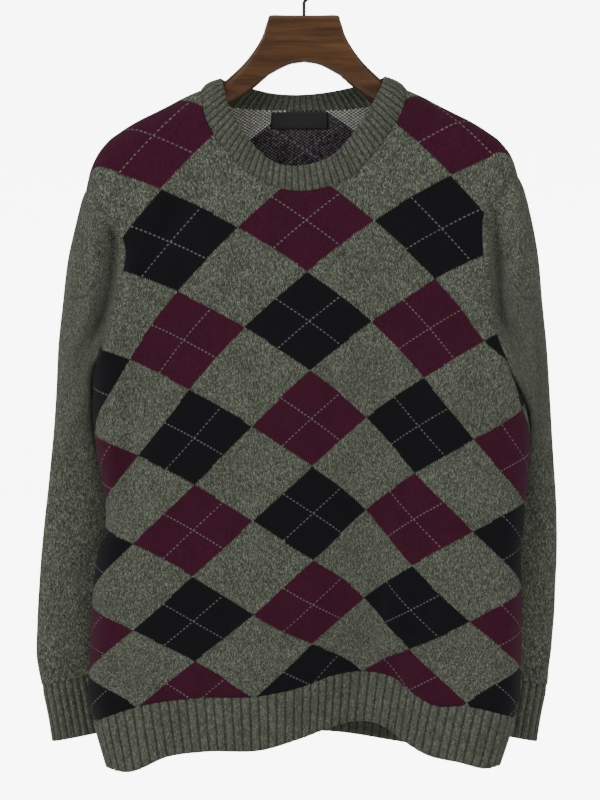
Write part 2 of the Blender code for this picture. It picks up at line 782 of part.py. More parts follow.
def arm_section(distance):
    """Hanger arm under the cloth, by distance from the centre line."""
    steep = float(shoulder_reach(distance)) / SHOULDER_ROUND
    top = float(ridge_height(distance)) - (CLOTH_WALL + HANGER_CLEARANCE) * steep
    height = HANGER_ARM_HEIGHT
    half_depth = min(HANGER_ARM_HALF_DEPTH, 9.5 + (distance - 72) * 0.07)
    return HangerSection(distance, top, top - height, half_depth, 2.1)


def section_ring(section, hand, count=16):
    """Rounded rectangle across the hanger."""
    angles = np.linspace(0, 2 * math.pi, count, endpoint=False) + math.pi / count
    power = 2 / section.squareness
    across = np.sign(np.cos(angles)) * np.abs(np.cos(angles))**power * section.half_depth
    middle = (section.top + section.bottom) / 2
    tall = (section.top - section.bottom) / 2
    upright = np.sign(np.sin(angles)) * np.abs(np.sin(angles))**power * tall
    x = np.full(count, hand * section.distance)
    return np.stack([x, across, middle + upright], axis=1)


def hanger(collection, cutters):
    """Loft of rounded sections from end to end, with the hook's bore."""
    half = list(HANGER_SECTIONS) + [arm_section(step) for step in HANGER_ARM_STEPS]
    last = half[-1]
    middle = (last.top + last.bottom) / 2
    half.append(HangerSection(HANGER_END, middle + 9, middle - 9, 9, 2.2))
    rings = [section_ring(section, LEFT) for section in reversed(half[1:])]
    rings += [section_ring(section, RIGHT) for section in half]
    points = np.concatenate(rings) * MM
    around = len(rings[0])
    faces = [tuple(range(around)), tuple(range(len(points) - around, len(points)))]
    for ring in range(len(rings) - 1):
        for col in range(around):
            beside = (col + 1) % around
            faces.append((ring * around + col, ring * around + beside,
                          (ring + 1) * around + beside, (ring + 1) * around + col))
    mesh = bpy.data.meshes.new("hanger")
    mesh.from_pydata([tuple(point) for point in points], [], faces)
    body = place(collection, "hanger", mesh, "hanger_wood")
    bpy.ops.mesh.primitive_cylinder_add(
        vertices=16, radius=(HOOK_WIRE + SEAM_GAP) * MM, depth=2 * HOOK_BORE_DEPTH * MM,
        location=(0, 0, BLOCK_TOP * MM))
    bore = bpy.context.active_object
    bore.name = "hook_bore"
    for home in list(bore.users_collection):
        home.objects.unlink(bore)
    cutters.objects.link(bore)
    bore.hide_render = True
    bore.display_type = "WIRE"
    cut = body.modifiers.new("bore", "BOOLEAN")
    cut.operation = "DIFFERENCE"
    cut.object = bore
    cut.solver = "EXACT"


def hook_route():
    """Centre line of the hook: shank, small bend, then most of a circle."""
    radius = HOOK_INNER_RADIUS + HOOK_WIRE
    middle = -HOOK_INNER_RADIUS
    bend = np.radians(np.linspace(-55, 210, 24))
    circle = np.stack([radius * np.cos(bend), middle + radius * np.sin(bend)], axis=1)
    join, rise = circle[0], circle[1] - circle[0]
    rise /= np.linalg.norm(rise)
    shank = np.array([[0.0, SHANK_BOTTOM], [0.0, BLOCK_TOP - 1], [0.0, BLOCK_TOP + 12]])
    share = np.linspace(0, 1, 7)[1:-1, None]
    leave, arrive = np.array([0.0, 13.0]), rise * 16.0
    start = shank[-1]
    curve = ((2 * share**3 - 3 * share**2 + 1) * start
             + (share**3 - 2 * share**2 + share) * leave
             + (3 * share**2 - 2 * share**3) * join + (share**3 - share**2) * arrive)
    flat = np.concatenate([shank, curve, circle])
    return np.stack([flat[:, 0], np.zeros(len(flat)), flat[:, 1]], axis=1) * MM


def hook(collection):
    route = hook_route()
    wire = bpy.data.curves.new("hanger_hook", "CURVE")
    wire.dimensions = "3D"
    wire.bevel_depth = HOOK_WIRE * MM
    wire.bevel_resolution = 2
    wire.use_fill_caps = True
    line = wire.splines.new("POLY")
    line.points.add(len(route) - 1)
    for point, spot in zip(line.points, route):
        point.co = (*spot, 1.0)
    item = bpy.data.objects.new("hanger_hook", wire)
    item.data.materials.append(material("hook_metal"))
    collection.objects.link(item)


def main():
    for item in list(bpy.data.objects):
        bpy.data.objects.remove(item, do_unlink=True)
    collection = bpy.data.collections.new("argyle_sweater")
    cutters = bpy.data.collections.new("cutters")
    for group in (collection, cutters):
        bpy.context.scene.collection.children.link(group)
    front = body_panel(collection, "front", FRONT)
    back = body_panel(collection, "back", BACK)
    hem_rib(collection, "hem_rib_front", FRONT, front)
    hem_rib(collection, "hem_rib_back", BACK, back)
    neck_band(collection, front, back)
    sleeve(collection, "sleeve_left", "cuff_left", LEFT, front, back)
    sleeve(collection, "sleeve_right", "cuff_right", RIGHT, front, back)
    label(collection)
    hanger(collection, cutters)
    hook(collection)


if __name__ == "__main__":
    main()
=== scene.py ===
"""Argyle crew-neck sweater on a flat wooden hanger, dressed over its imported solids.

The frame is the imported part's own: metres, +Z up, the front faces -Y, and the
origin is the inner top of the hook. Tables hold millimetres, measured from the
centre line and down from the origin. "Left" is the -X side.
"""
import logging
import math
from dataclasses import dataclass, replace
from enum import Enum
from typing import Any, NamedTuple

import bpy
import numpy as np
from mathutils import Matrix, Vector


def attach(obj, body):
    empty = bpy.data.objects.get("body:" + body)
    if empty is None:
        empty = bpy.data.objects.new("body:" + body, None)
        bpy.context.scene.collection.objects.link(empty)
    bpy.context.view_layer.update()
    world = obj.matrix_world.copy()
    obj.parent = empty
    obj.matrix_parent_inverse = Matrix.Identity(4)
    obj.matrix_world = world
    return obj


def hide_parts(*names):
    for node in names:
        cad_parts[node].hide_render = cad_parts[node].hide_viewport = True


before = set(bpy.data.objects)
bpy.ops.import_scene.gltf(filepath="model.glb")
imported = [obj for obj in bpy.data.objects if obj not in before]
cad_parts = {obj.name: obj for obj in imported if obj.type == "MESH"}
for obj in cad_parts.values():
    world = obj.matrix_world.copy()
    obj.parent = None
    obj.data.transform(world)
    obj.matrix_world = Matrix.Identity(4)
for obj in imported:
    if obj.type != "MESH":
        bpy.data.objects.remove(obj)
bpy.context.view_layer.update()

LOG = logging.getLogger("sweater")
MM = 0.001
CLOTH_UV = "cloth"

Array = np.ndarray


class Face(Enum):
    """Side of the hung sweater that a panel is on."""

    FRONT = -1
    BACK = 1


class Hand(Enum):
    """Side of the sweater as it is seen from the front."""

    LEFT = -1
    RIGHT = 1


class Ridge(NamedTuple):
    """Height of the shoulder line at a distance from the centre line."""

    distance: float
    height: float


class Side(NamedTuple):
    """Distance of the body's left and right edges at a height."""

    height: float
    left: float
    right: float


class Depth(NamedTuple):
    """How far the cloth stands from the middle plane at a height."""

    height: float
    front: float
    back: float
    back_edge: float


class Spot(NamedTuple):
    """A point of an outline, as it is seen from the front."""

    x: float
    height: float


class Trough(NamedTuple):
    """A soft upright trough: deepest at middle_height, fading over its length."""

    x: float
    middle_height: float
    lean: float
    width: float
    length: float
    depth: float


class Crease(NamedTuple):
    """A listed crease: it runs along angle from level, bends, and fades.

    A positive rise stands out of the cloth and a negative one sinks into it.
    sharp narrows the side that its direction has on its left.
    """

    x: float
    height: float
    angle: float
    length: float
    width: float
    rise: float
    bend: float
    sharp: float


class SleeveRing(NamedTuple):
    """Outer and inner edge of a sleeve at one ring; right_lower lowers the right's inner."""

    outer_height: float
    outer_left: float
    outer_right: float
    outer_back: float
    inner_height: float
    inner_left: float
    inner_right: float
    inner_back: float
    half_depth: float
    right_lower: float


class HangerSection(NamedTuple):
    """Cut across the hanger at a distance from the centre line."""

    distance: float
    top: float
    bottom: float
    half_depth: float
    squareness: float


class LatticeRow(NamedTuple):
    """How the knitted pattern hangs at one height of the flat cloth."""

    down: float
    centre: float
    spread: float
    pinch: float
    gather: float
    height: float
    droop: float
    lift: float


# ---------------------------------------------------------------- curves

def cubic(part: Array, start: Array, end: Array, leave: Array, arrive: Array) -> Array:
    """Hermite cubic from start to end, with the slopes at both, at parts from 0 to 1."""
    return ((2 * part**3 - 3 * part**2 + 1) * start + (part**3 - 2 * part**2 + part) * leave
            + (3 * part**2 - 2 * part**3) * end + (part**3 - part**2) * arrive)


def hermite(keys: Array, values: Array, at: Array) -> Array:
    """Read a smooth curve through keyed values.

    Each span is a cubic whose end slopes are the finite differences of the keys.

    Args:
        keys: Rising keys.
        values: A value, or a row of values, for each key.
        at: Places to read, held between the first and the last key.

    Returns:
        The values at the places.
    """
    keys = np.asarray(keys, float)
    values = np.asarray(values, float)
    slopes = np.gradient(values, keys, axis=0)
    at = np.clip(np.asarray(at, float), keys[0], keys[-1])
    index = np.clip(np.searchsorted(keys, at, side="right") - 1, 0, len(keys) - 2)
    step = keys[index + 1] - keys[index]
    part = (at - keys[index]) / step
    extra = (1,) * (values.ndim - 1)
    step, part = step.reshape(step.shape + extra), part.reshape(part.shape + extra)
    return cubic(part, values[index], values[index + 1],
                 slopes[index] * step, slopes[index + 1] * step)


def column(table: tuple, name: str) -> Array:
    """One column of a table."""
    return np.array([getattr(row, name) for row in table], float)


def by_height(table: tuple, name: str, height: Array) -> Array:
    """One column of a table whose rows run downwards, read at heights."""
    return hermite(-column(table, "height"), column(table, name), -np.asarray(height, float))


def smoothstep(low: float, high: float, value: Array) -> Array:
    """Nought at low, one at high, with a smooth S between them."""
    part = np.clip((value - low) / (high - low), 0, 1)
    return part * part * (3 - 2 * part)


def spread_fractions(count: int, crowding: float) -> Array:
    """Fractions from 0 to 1 that stand closer together near both ends."""
    even = np.linspace(-1, 1, count + 1)
    return (even + crowding * np.sin(math.pi * even) / math.pi + 1) / 2


def path_lengths(points: Array, axis: int = 0) -> Array:
    """Length up to each point of a line, or of a grid's lines along one axis."""
    steps = np.linalg.norm(np.diff(points, axis=axis), axis=-1)
    start = np.zeros_like(np.take(steps, [0], axis=axis))
    return np.concatenate([start, np.cumsum(steps, axis=axis)], axis=axis)


def along_points(points: Array, fractions: Array) -> Array:
    """Points of a smooth line at fractions of its length."""
    lengths = path_lengths(points)
    return hermite(lengths / lengths[-1], points, fractions)


def along_polyline(points: Array, fractions: Array) -> Array:
    """Points of a polyline at fractions of its length, its first three columns being places."""
    lengths = path_lengths(points[:, :3])
    places = np.asarray(fractions) * lengths[-1]
    return np.stack([np.interp(places, lengths, points[:, axis])
                     for axis in range(points.shape[1])], axis=1)


def unit(vectors: Array) -> Array:
    """Vectors at length one."""
    return vectors / np.maximum(np.linalg.norm(vectors, axis=-1, keepdims=True), 1e-12)


def grid_normals(points: Array, closed: bool, outward: Array) -> Array:
    """Normals of a grid: the cross product of its two directions, turned outwards.

    Args:
        points: Grid of places, rows by columns.
        closed: Whether each row joins its own start.
        outward: Rough outward directions that settle the sign of the whole grid.

    Returns:
        A unit normal for each place.
    """
    if closed:
        across = np.roll(points, -1, axis=1) - np.roll(points, 1, axis=1)
    else:
        across = np.gradient(points, axis=1)
    normals = unit(np.cross(across, np.gradient(points, axis=0)))
    return normals * np.sign(np.sum(normals * outward))


# ------------------------------------------------- the hung body as a surface

@dataclass(frozen=True)
class HungBody:
    """The torso as one surface: flat in the middle, rolled over shoulders and sides."""

    shoulder_round: float = 22.0
    front_round: float = 25.0
    back_round: float = 12.0
    steepest_round: float = 1.6
    back_edge_start: float = 85.0
    back_edge_end: float = 165.0
    neck_half_width: float = 104.0
    tip_left: float = 221.0
    tip_right: float = 217.0
    ridge: tuple = (
        Ridge(0, -104), Ridge(50, -113), Ridge(82, -126), Ridge(101, -135),
        Ridge(121, -144), Ridge(136, -152), Ridge(152, -160), Ridge(168, -168),
        Ridge(184, -178), Ridge(199, -190), Ridge(210, -206), Ridge(217, -224),
        Ridge(222, -242),
    )
    sides: tuple = (
        Side(-200, 275, 275), Side(-330, 245, 248), Side(-380, 222, 234),
        Side(-415, 212, 223), Side(-440, 208, 220), Side(-475, 208, 224),
        Side(-510, 206, 225), Side(-540, 201, 223), Side(-570, 199, 221),
        Side(-600, 207, 218), Side(-660, 213, 219), Side(-715, 216, 218),
        Side(-750, 216, 216), Side(-769, 212, 212), Side(-790, 206, 203),
        Side(-817, 198, 196),
    )
    depths: tuple = (
        Depth(-100, 22, 22, 22), Depth(-200, 22, 22, 22), Depth(-300, 25, 24, 22),
        Depth(-380, 27, 26, 17), Depth(-420, 28, 27, 13), Depth(-520, 30, 29, 12.5),
        Depth(-680, 31, 30, 12.5), Depth(-820, 31, 30, 13),
    )
    troughs: tuple = (
        Trough(x=61, middle_height=-830, lean=0.02, width=40, length=230, depth=30),
        Trough(x=-172, middle_height=-505, lean=0.05, width=14, length=75, depth=7),
        Trough(x=128, middle_height=-700, lean=-0.10, width=20, length=120, depth=5),
    )

    def side_round(self, face: Face) -> float:
        """Radius over which the cloth rolls into the side."""
        return self.front_round if face is Face.FRONT else self.back_round

    def ridge_height(self, x: Array) -> Array:
        """Height of the shoulder line."""
        return hermite(column(self.ridge, "distance"), column(self.ridge, "height"), np.abs(x))

    def shoulder_reach(self, x: Array) -> Array:
        """Upright reach of the roll over the shoulder, longer where it is steep."""
        slope = self.ridge_height(np.abs(x) + 0.5) - self.ridge_height(np.abs(x) - 0.5)
        return self.shoulder_round * np.sqrt(1 + np.clip(slope, -self.steepest_round, 0)**2)

    def side_start(self, x: Array, height: Array, face: Face) -> Array:
        """Distance at which the roll into the side starts."""
        half = np.where(x < 0, by_height(self.sides, "left", height),
                        by_height(self.sides, "right", height))
        return half - self.side_round(face)

    def to_cloth(self, x: Array, height: Array, face: Face) -> tuple[Array, Array]:
        """Cloth place of a point given as it is seen: the arc lengths of both rolls."""
        x, height = np.asarray(x, float), np.asarray(height, float)
        start = self.side_start(x, height, face)
        cloth_x = np.sign(x) * (start + unrolled(np.abs(x) - start, self.side_round(face)))
        reach = self.shoulder_reach(x)
        start = self.ridge_height(x) - reach
        return cloth_x, start + unrolled(height - start, reach)

    def relief(self, x: Array, height: Array) -> Array:
        """How far the front's troughs sink: a bell across each, a bell along it."""
        sunk = np.zeros_like(x)
        for trough in self.troughs:
            across = x - trough.x - trough.lean * (height - trough.middle_height)
            down = (height - trough.middle_height) / trough.length
            sunk = sunk + trough.depth * np.exp(-(across / trough.width)**2 - down**2)
        return sunk

    def point(self, cloth_x: Array, cloth_height: Array, face: Face) -> Array:
        """Place of a cloth point: both rolls are quarter rounds about the middle plane."""
        start = self.side_start(cloth_x, cloth_height, face)
        shown, side_cos = rolled(np.abs(cloth_x) - start, self.side_round(face))
        x = np.sign(cloth_x) * (start + shown)
        reach = self.shoulder_reach(x)
        start = self.ridge_height(x) - reach
        shown, top_cos = rolled(cloth_height - start, reach)
        height = start + shown
        if face is Face.FRONT:
            depth = by_height(self.depths, "front", height) - self.relief(x, height)
        else:
            edge = smoothstep(self.back_edge_start, self.back_edge_end, np.abs(x))
            depth = (by_height(self.depths, "back", height) * (1 - edge)
                     + by_height(self.depths, "back_edge", height) * edge)
        return np.stack([x, face.value * depth * side_cos * top_cos, height], axis=-1)

    def surface(self, cloth_x: Array, cloth_height: Array, face: Face) -> tuple[Array, Array]:
        """Places and outward normals at cloth places."""
        probe = 0.05
        across = (self.point(cloth_x + probe, cloth_height, face)
                  - self.point(cloth_x - probe, cloth_height, face))
        up = (self.point(cloth_x, cloth_height + probe, face)
              - self.point(cloth_x, cloth_height - probe, face))
        return self.point(cloth_x, cloth_height, face), unit(-face.value * np.cross(across, up))

    def side_edge(self, height: Array, face: Face, hand: Hand) -> Array:
        """Cloth place of the side seam: a quarter round past the seen edge."""
        half = by_height(self.sides, hand.name.lower(), height)
        return hand.value * (half + (math.pi / 2 - 1) * self.side_round(face))

    def tip(self, hand: Hand) -> float:
        """Distance of the shoulder's tip."""
        return self.tip_left if hand is Hand.LEFT else self.tip_right


def unrolled(past: Array, reach: Array) -> Array:
    """Arc length on a quarter round that shows as the distance past its start."""
    return np.where(past > 0, reach * np.arcsin(np.clip(past / reach, 0, 1)), past)


def rolled(past: Array, reach: Array) -> tuple[Array, Array]:
    """Seen distance, and share of the depth left, for an arc length past a fold's start."""
    angle = np.clip(past / reach, 0, math.pi / 2)
    return np.where(past > 0, reach * np.sin(angle), past), np.cos(angle)


def crease_relief(creases: tuple, x: Array, height: Array) -> Array:
    """Height of listed creases.

    Each is a bell across its line and a bell along it. Its line is bent into
    a parabola, and it is narrower on its sharp side.
    """
    total = np.zeros_like(x)
    for crease in creases:
        turn = math.radians(crease.angle)
        ahead = ((x - crease.x) * math.cos(turn) + (height - crease.height) * math.sin(turn))
        aside = ((height - crease.height) * math.cos(turn) - (x - crease.x) * math.sin(turn))
        along = ahead / crease.length
        aside = aside - crease.bend * (along**2 - 0.5)
        width = crease.width * np.where(aside > 0, crease.sharp, 1.0)
        total = total + crease.rise * np.exp(-(aside / width)**2 - along**2)
    return total


# ------------------------------------------------------------ the pattern's hang

@dataclass(frozen=True)
class Lattice:
    """Where the flat cloth's pattern hangs on the body, row by row of diamonds."""

    half_cloth: float = 268.0
    droop_centre: float = 30.0
    lift_centre: float = 60.0
    lift_width: float = 75.0
    gather_start: float = 10.0
    gather_end: float = 150.0
    underarm: tuple = (216, -400)
    underarm_size: tuple = (24, 44)
    swallowed: tuple = (12.0, 17.0)
    first_stretch: tuple = (0.95, 1.03)
    first_top: float = 170.0
    down_limits: tuple = (-119, 699)
    rounds: int = 40
    pull: float = 0.8
    rows: tuple = (
        LatticeRow(-120, 2, 1.137, 0.0, 0, 32, 68, 0),
        LatticeRow(0, 2, 1.137, 0.0, 0, 160, 65, 0),
        LatticeRow(100, 2, 1.01, 0.0, 0, 268, 60, 0),
        LatticeRow(200, 5, 0.965, 0.14, 5, 369, 52, 0),
        LatticeRow(300, 7, 0.88, 0.05, 10, 468, 48, 3.5),
        LatticeRow(400, 9, 0.89, 0.0, 20, 564, 36, 7),
        LatticeRow(500, 9, 0.89, 0.0, 23, 659, 24, 14),
        LatticeRow(600, 8, 0.86, 0.0, 20, 745, 12, 25),
        LatticeRow(700, 8, 0.86, 0.0, 20, 852, 17, 32),
    )

    def gathered(self, x: Array, height: Array) -> Array:
        """Share of cloth that the right underarm swallows: a bell about it."""
        middle_x, middle_height = self.underarm
        width, tall = self.underarm_size
        return np.exp(-((x - middle_x) / width)**2 - ((height - middle_height) / tall)**2)

    def hang(self, across: Array, down: Array) -> tuple[Array, Array]:
        """Seen place of a flat one: a spread row that gathers, droops and lifts."""
        keys = column(self.rows, "down")
        row = {name: hermite(keys, column(self.rows, name), down)
               for name in LatticeRow._fields[1:]}
        share = across / self.half_cloth
        x = (row["centre"] + row["spread"] * across * (1 - row["pinch"] * share**2)
             - row["gather"] * smoothstep(self.gather_start, self.gather_end, across))
        aside = (across - self.droop_centre) / self.half_cloth
        lift = np.exp(-((across - self.lift_centre) / self.lift_width)**2)
        height = -row["height"] - row["droop"] * aside**2 + row["lift"] * lift
        return x, height

    def flat_place(self, x: Array, height: Array) -> tuple[Array, Array]:
        """Flat place of a seen one: hang, turned round by repeated correction."""
        gathered = self.gathered(x, height)
        across = x / self.first_stretch[0]
        down = (-height - self.first_top) * self.first_stretch[1]
        for _ in range(self.rounds):
            hung_x, hung_height = self.hang(across, down)
            across = across + self.pull * (x - hung_x)
            down = np.clip(down + self.pull * (hung_height - height), *self.down_limits)
        return (across - self.swallowed[0] * gathered, down + self.swallowed[1] * gathered)


# ------------------------------------------------------------ meshes

class Cloth(NamedTuple):
    """A shell's grids: outer and inner places, and the cloth's own coordinates."""

    outer: Array
    inner: Array
    chart: Array


def placed(name: str, data: bpy.types.ID) -> bpy.types.Object:
    """New object with its data, at the origin of the scene."""
    item = bpy.data.objects.new(name, data)
    bpy.context.scene.collection.objects.link(item)
    return item


def make_mesh(name: str, points: Array, faces: Array, charts: Array | None = None,
              slots: Array | None = None) -> bpy.types.Object:
    """Put arrays into a new smooth-shaded mesh object at the origin.

    Args:
        name: Name of the piece.
        points: Places, in millimetres.
        faces: Quads as rows of four vertex numbers; a triangle repeats its last.
        charts: Cloth coordinates, in millimetres, for each corner of each face.
        slots: Material number of each face.

    Returns:
        The new object.
    """
    triangle = faces[:, 3] == faces[:, 2]
    sizes = np.where(triangle, 3, 4)
    keep = np.ones(faces.shape, bool)
    keep[:, 3] = ~triangle
    corners = faces[keep]
    mesh = bpy.data.meshes.new(name)
    mesh.vertices.add(len(points))
    mesh.vertices.foreach_set("co", (points * MM).astype(np.float32).ravel())
    mesh.loops.add(len(corners))
    mesh.loops.foreach_set("vertex_index", corners.astype(np.int32))
    mesh.polygons.add(len(faces))
    starts = np.concatenate(([0], np.cumsum(sizes)[:-1]))
    mesh.polygons.foreach_set("loop_start", starts.astype(np.int32))
    mesh.update(calc_edges=True)
    if charts is not None:
        layer = mesh.uv_layers.new(name=CLOTH_UV)
        layer.data.foreach_set("uv", (charts[keep] * MM).astype(np.float32).ravel())
    if slots is not None:
        mesh.polygons.foreach_set("material_index", slots.astype(np.int32))
    mesh.shade_smooth()
    return placed(name, mesh)


def quads(rows: int, columns: int, wraps: tuple[bool, bool]) -> tuple[Array, Array, Array]:
    """Faces between the points of a grid.

    Args:
        rows: Rows of points.
        columns: Points in a row.
        wraps: Whether the last row joins the first, and whether each row joins its start.

    Returns:
        The faces, and the row and the column that each starts at.
    """
    row, col = np.meshgrid(np.arange(rows - 1 + wraps[0]), np.arange(columns - 1 + wraps[1]),
                           indexing="ij")
    row, col = row.ravel(), col.ravel()
    here, below = row * columns, (row + 1) % rows * columns
    beside = (col + 1) % columns
    return np.stack([here + col, here + beside, below + beside, below + col], axis=1), row, col


def cloth_shell(name: str, cloth: Cloth, closed: bool, rim: float = 0.45) -> bpy.types.Object:
    """Closed shell of a cloth: outer wall, rounded edge, inner wall, rounded edge.

    The rows run down the outer wall and back up the inner one as one loop, with
    a row of its own on each edge, pushed out by rim times the thickness.

    Args:
        name: Name of the piece.
        cloth: Its grids.
        closed: Whether each row joins its own start.
        rim: How far the edges bulge, in thicknesses.

    Returns:
        The new object; its material 0 is outside and 1 is inside.
    """
    outer, inner, chart = cloth
    rows, columns = outer.shape[:2]
    thick = np.linalg.norm(outer - inner, axis=2, keepdims=True)
    low = (outer[-1] + inner[-1]) / 2 + unit(outer[-1] - outer[-2]) * thick[-1] * rim
    high = (outer[0] + inner[0]) / 2 + unit(outer[0] - outer[1]) * thick[0] * rim
    loop = np.concatenate([outer, low[None], inner[::-1], high[None]])
    charts = np.concatenate([chart, chart[-1:], chart[::-1], chart[:1]])
    count = len(loop)
    faces, row, col = quads(count, columns, (True, closed))
    below = (row + 1) % count
    corner = np.stack([charts[row, col], charts[row, col + 1],
                       charts[below, col + 1], charts[below, col]], axis=1)
    slots = ((row >= rows) & (row < count - 1)).astype(int)
    if not closed:
        cap = side_cap(rows)
        rings = ((0, turned_faces(cap)), (columns - 1, cap))
        faces = np.concatenate([faces, *(ring * columns + end for end, ring in rings)])
        corner = np.concatenate([corner, *(charts[ring, end] for end, ring in rings)])
        slots = np.concatenate([slots, np.zeros(2 * len(cap), int)])
    points = loop.reshape(-1, 3)
    around = np.cross(outer[0, 1] - outer[0, 0], outer[1, 0] - outer[0, 0])
    if np.dot(around, outer[0, 0] - inner[0, 0]) < 0:
        faces = turned_faces(faces)
        corner = np.where((faces[:, 3] == faces[:, 2])[:, None, None],
                          corner[:, [0, 2, 1, 1]], corner[:, ::-1])
    return make_mesh(name, points, faces, corner, slots)


def side_cap(rows: int) -> Array:
    """Faces that close a shell's side: a strip between its walls, and a tip at each edge.

    Args:
        rows: Rows of the outer wall.

    Returns:
        Faces whose numbers count along the loop of a shell's rows.
    """
    index = np.arange(rows - 1)
    count = 2 * rows + 2
    strip = np.stack([index, count - 2 - index, count - 3 - index, index + 1], axis=1)
    return np.concatenate([strip, [[rows - 1, rows + 1, rows, rows],
                                   [0, count - 1, count - 2, count - 2]]])


def turned_faces(faces: Array) -> Array:
    """Faces with their order turned round; a triangle keeps its doubled last corner."""
    triangle = (faces[:, 3] == faces[:, 2])[:, None]
    return np.where(triangle, faces[:, [0, 2, 1, 1]], faces[:, ::-1])


def tube(name: str, line: Array, sideways: Array, upward: Array, radius: Array,
         sides: int) -> bpy.types.Object:
    """Round tube along a line, closed at both ends by shrinking its last rings.

    Args:
        name: Name of the piece.
        line: Places along the middle, in millimetres.
        sideways: Unit vectors across the line.
        upward: Unit vectors across the line, at right angles to sideways.
        radius: Radius at each place.
        sides: Points round the tube.

    Returns:
        The new object.
    """
    angles = np.linspace(0, 2 * math.pi, sides, endpoint=False)
    rings = (line[:, None] + radius[:, None, None]
             * (np.cos(angles)[None, :, None] * sideways[:, None]
                + np.sin(angles)[None, :, None] * upward[:, None]))
    return lofted(name, rings)


def lofted(name: str, rings: Array) -> bpy.types.Object:
    """Skin over rings of points, with a middle point that closes each end."""
    count, sides = rings.shape[:2]
    middles = rings.mean(axis=1)
    points = np.concatenate([rings.reshape(-1, 3), middles[:1], middles[-1:]])
    ring, first = np.arange(sides), np.full(sides, count * sides)
    beside, last = (ring + 1) % sides, (count - 1) * sides
    start = np.stack([beside, ring, first, first], axis=1)
    end = np.stack([last + ring, last + beside, first + 1, first + 1], axis=1)
    faces = np.concatenate([quads(count, sides, (False, True))[0], start, end])
    around = np.cross(rings[0, 0] - middles[0], rings[0, 1] - middles[0])
    if np.dot(around, middles[1] - middles[0]) < 0:
        faces = turned_faces(faces)
    return make_mesh(name, points, faces)


# ------------------------------------------------------------ finishes

def linear(code: str) -> tuple[float, float, float, float]:
    """Linear colour of an sRGB hex code, channel by channel by the standard's curve."""
    channels = [int(code[start:start + 2], 16) / 255 for start in (1, 3, 5)]
    curve = [c / 12.92 if c <= 0.04045 else ((c + 0.055) / 1.055)**2.4 for c in channels]
    return (*curve, 1.0)


def add_node(tree: bpy.types.NodeTree, kind: str, inputs: Any = (), **settings: Any
             ) -> bpy.types.Node:
    """Add one shader node.

    Args:
        tree: The material's tree.
        kind: The node's type, after "ShaderNode".
        inputs: Values, nodes or sockets, in order or by socket name.
        settings: Properties of the node.

    Returns:
        The new node.
    """
    node = tree.nodes.new("ShaderNode" + kind)
    for key, value in settings.items():
        setattr(node, key, value)
    for key, value in inputs.items() if isinstance(inputs, dict) else enumerate(inputs):
        if isinstance(value, bpy.types.Node):
            tree.links.new(value.outputs[0], node.inputs[key])
        elif isinstance(value, bpy.types.NodeSocket):
            tree.links.new(value, node.inputs[key])
        elif value is not None:
            node.inputs[key].default_value = value
    return node


class Painter:
    """A material under construction: its tree, and its shader."""

    def __init__(self, name: str) -> None:
        """Start an empty material."""
        self.material = bpy.data.materials.new(name)
        self.material.use_nodes = True
        self.tree = self.material.node_tree
        self.tree.nodes.clear()

    def add(self, kind: str, *inputs: Any, **settings: Any) -> bpy.types.Node:
        """Add a node whose inputs come in order."""
        return add_node(self.tree, kind, inputs, **settings)

    def named(self, kind: str, inputs: dict, **settings: Any) -> bpy.types.Node:
        """Add a node whose inputs come by name."""
        return add_node(self.tree, kind, inputs, **settings)

    def calc(self, operation: str, *inputs: Any) -> bpy.types.Node:
        """Add a Math node."""
        return self.add("Math", *inputs, operation=operation)

    def band(self, value: Any, low: float, high: float, start: float = 0.0,
             end: float = 1.0) -> bpy.types.Node:
        """Smooth step of a value between two limits."""
        return self.add("MapRange", value, low, high, start, end, interpolation_type="SMOOTHSTEP")

    def mix(self, share: Any, first: Any, second: Any, blend: str = "MIX") -> bpy.types.Node:
        """Mix two colours."""
        return self.add("MixRGB", share, first, second, blend_type=blend)

    def cloth_axes(self) -> bpy.types.Node:
        """The cloth's own coordinates, one socket each."""
        return self.add("SeparateXYZ", self.add("UVMap", uv_map=CLOTH_UV))

    def shaded(self, colour: Any, shade: Any) -> bpy.types.Node:
        """A colour times a grey level."""
        grey = self.add("CombineXYZ", shade, shade, shade)
        return self.mix(1.0, colour, grey, "MULTIPLY")

    def finish(self, **inputs: Any) -> bpy.types.Material:
        """Close the material with one Principled shader, its sockets named with underscores."""
        named = {key.replace("_", " "): value for key, value in inputs.items()}
        shader = self.named("BsdfPrincipled", named)
        self.add("OutputMaterial", shader)
        return self.material


class Stitches(NamedTuple):
    """Sockets of a knitted fabric: stitch numbers, raised height, and a value for each leg."""

    wale: Any
    course: Any
    relief: Any
    random: Any


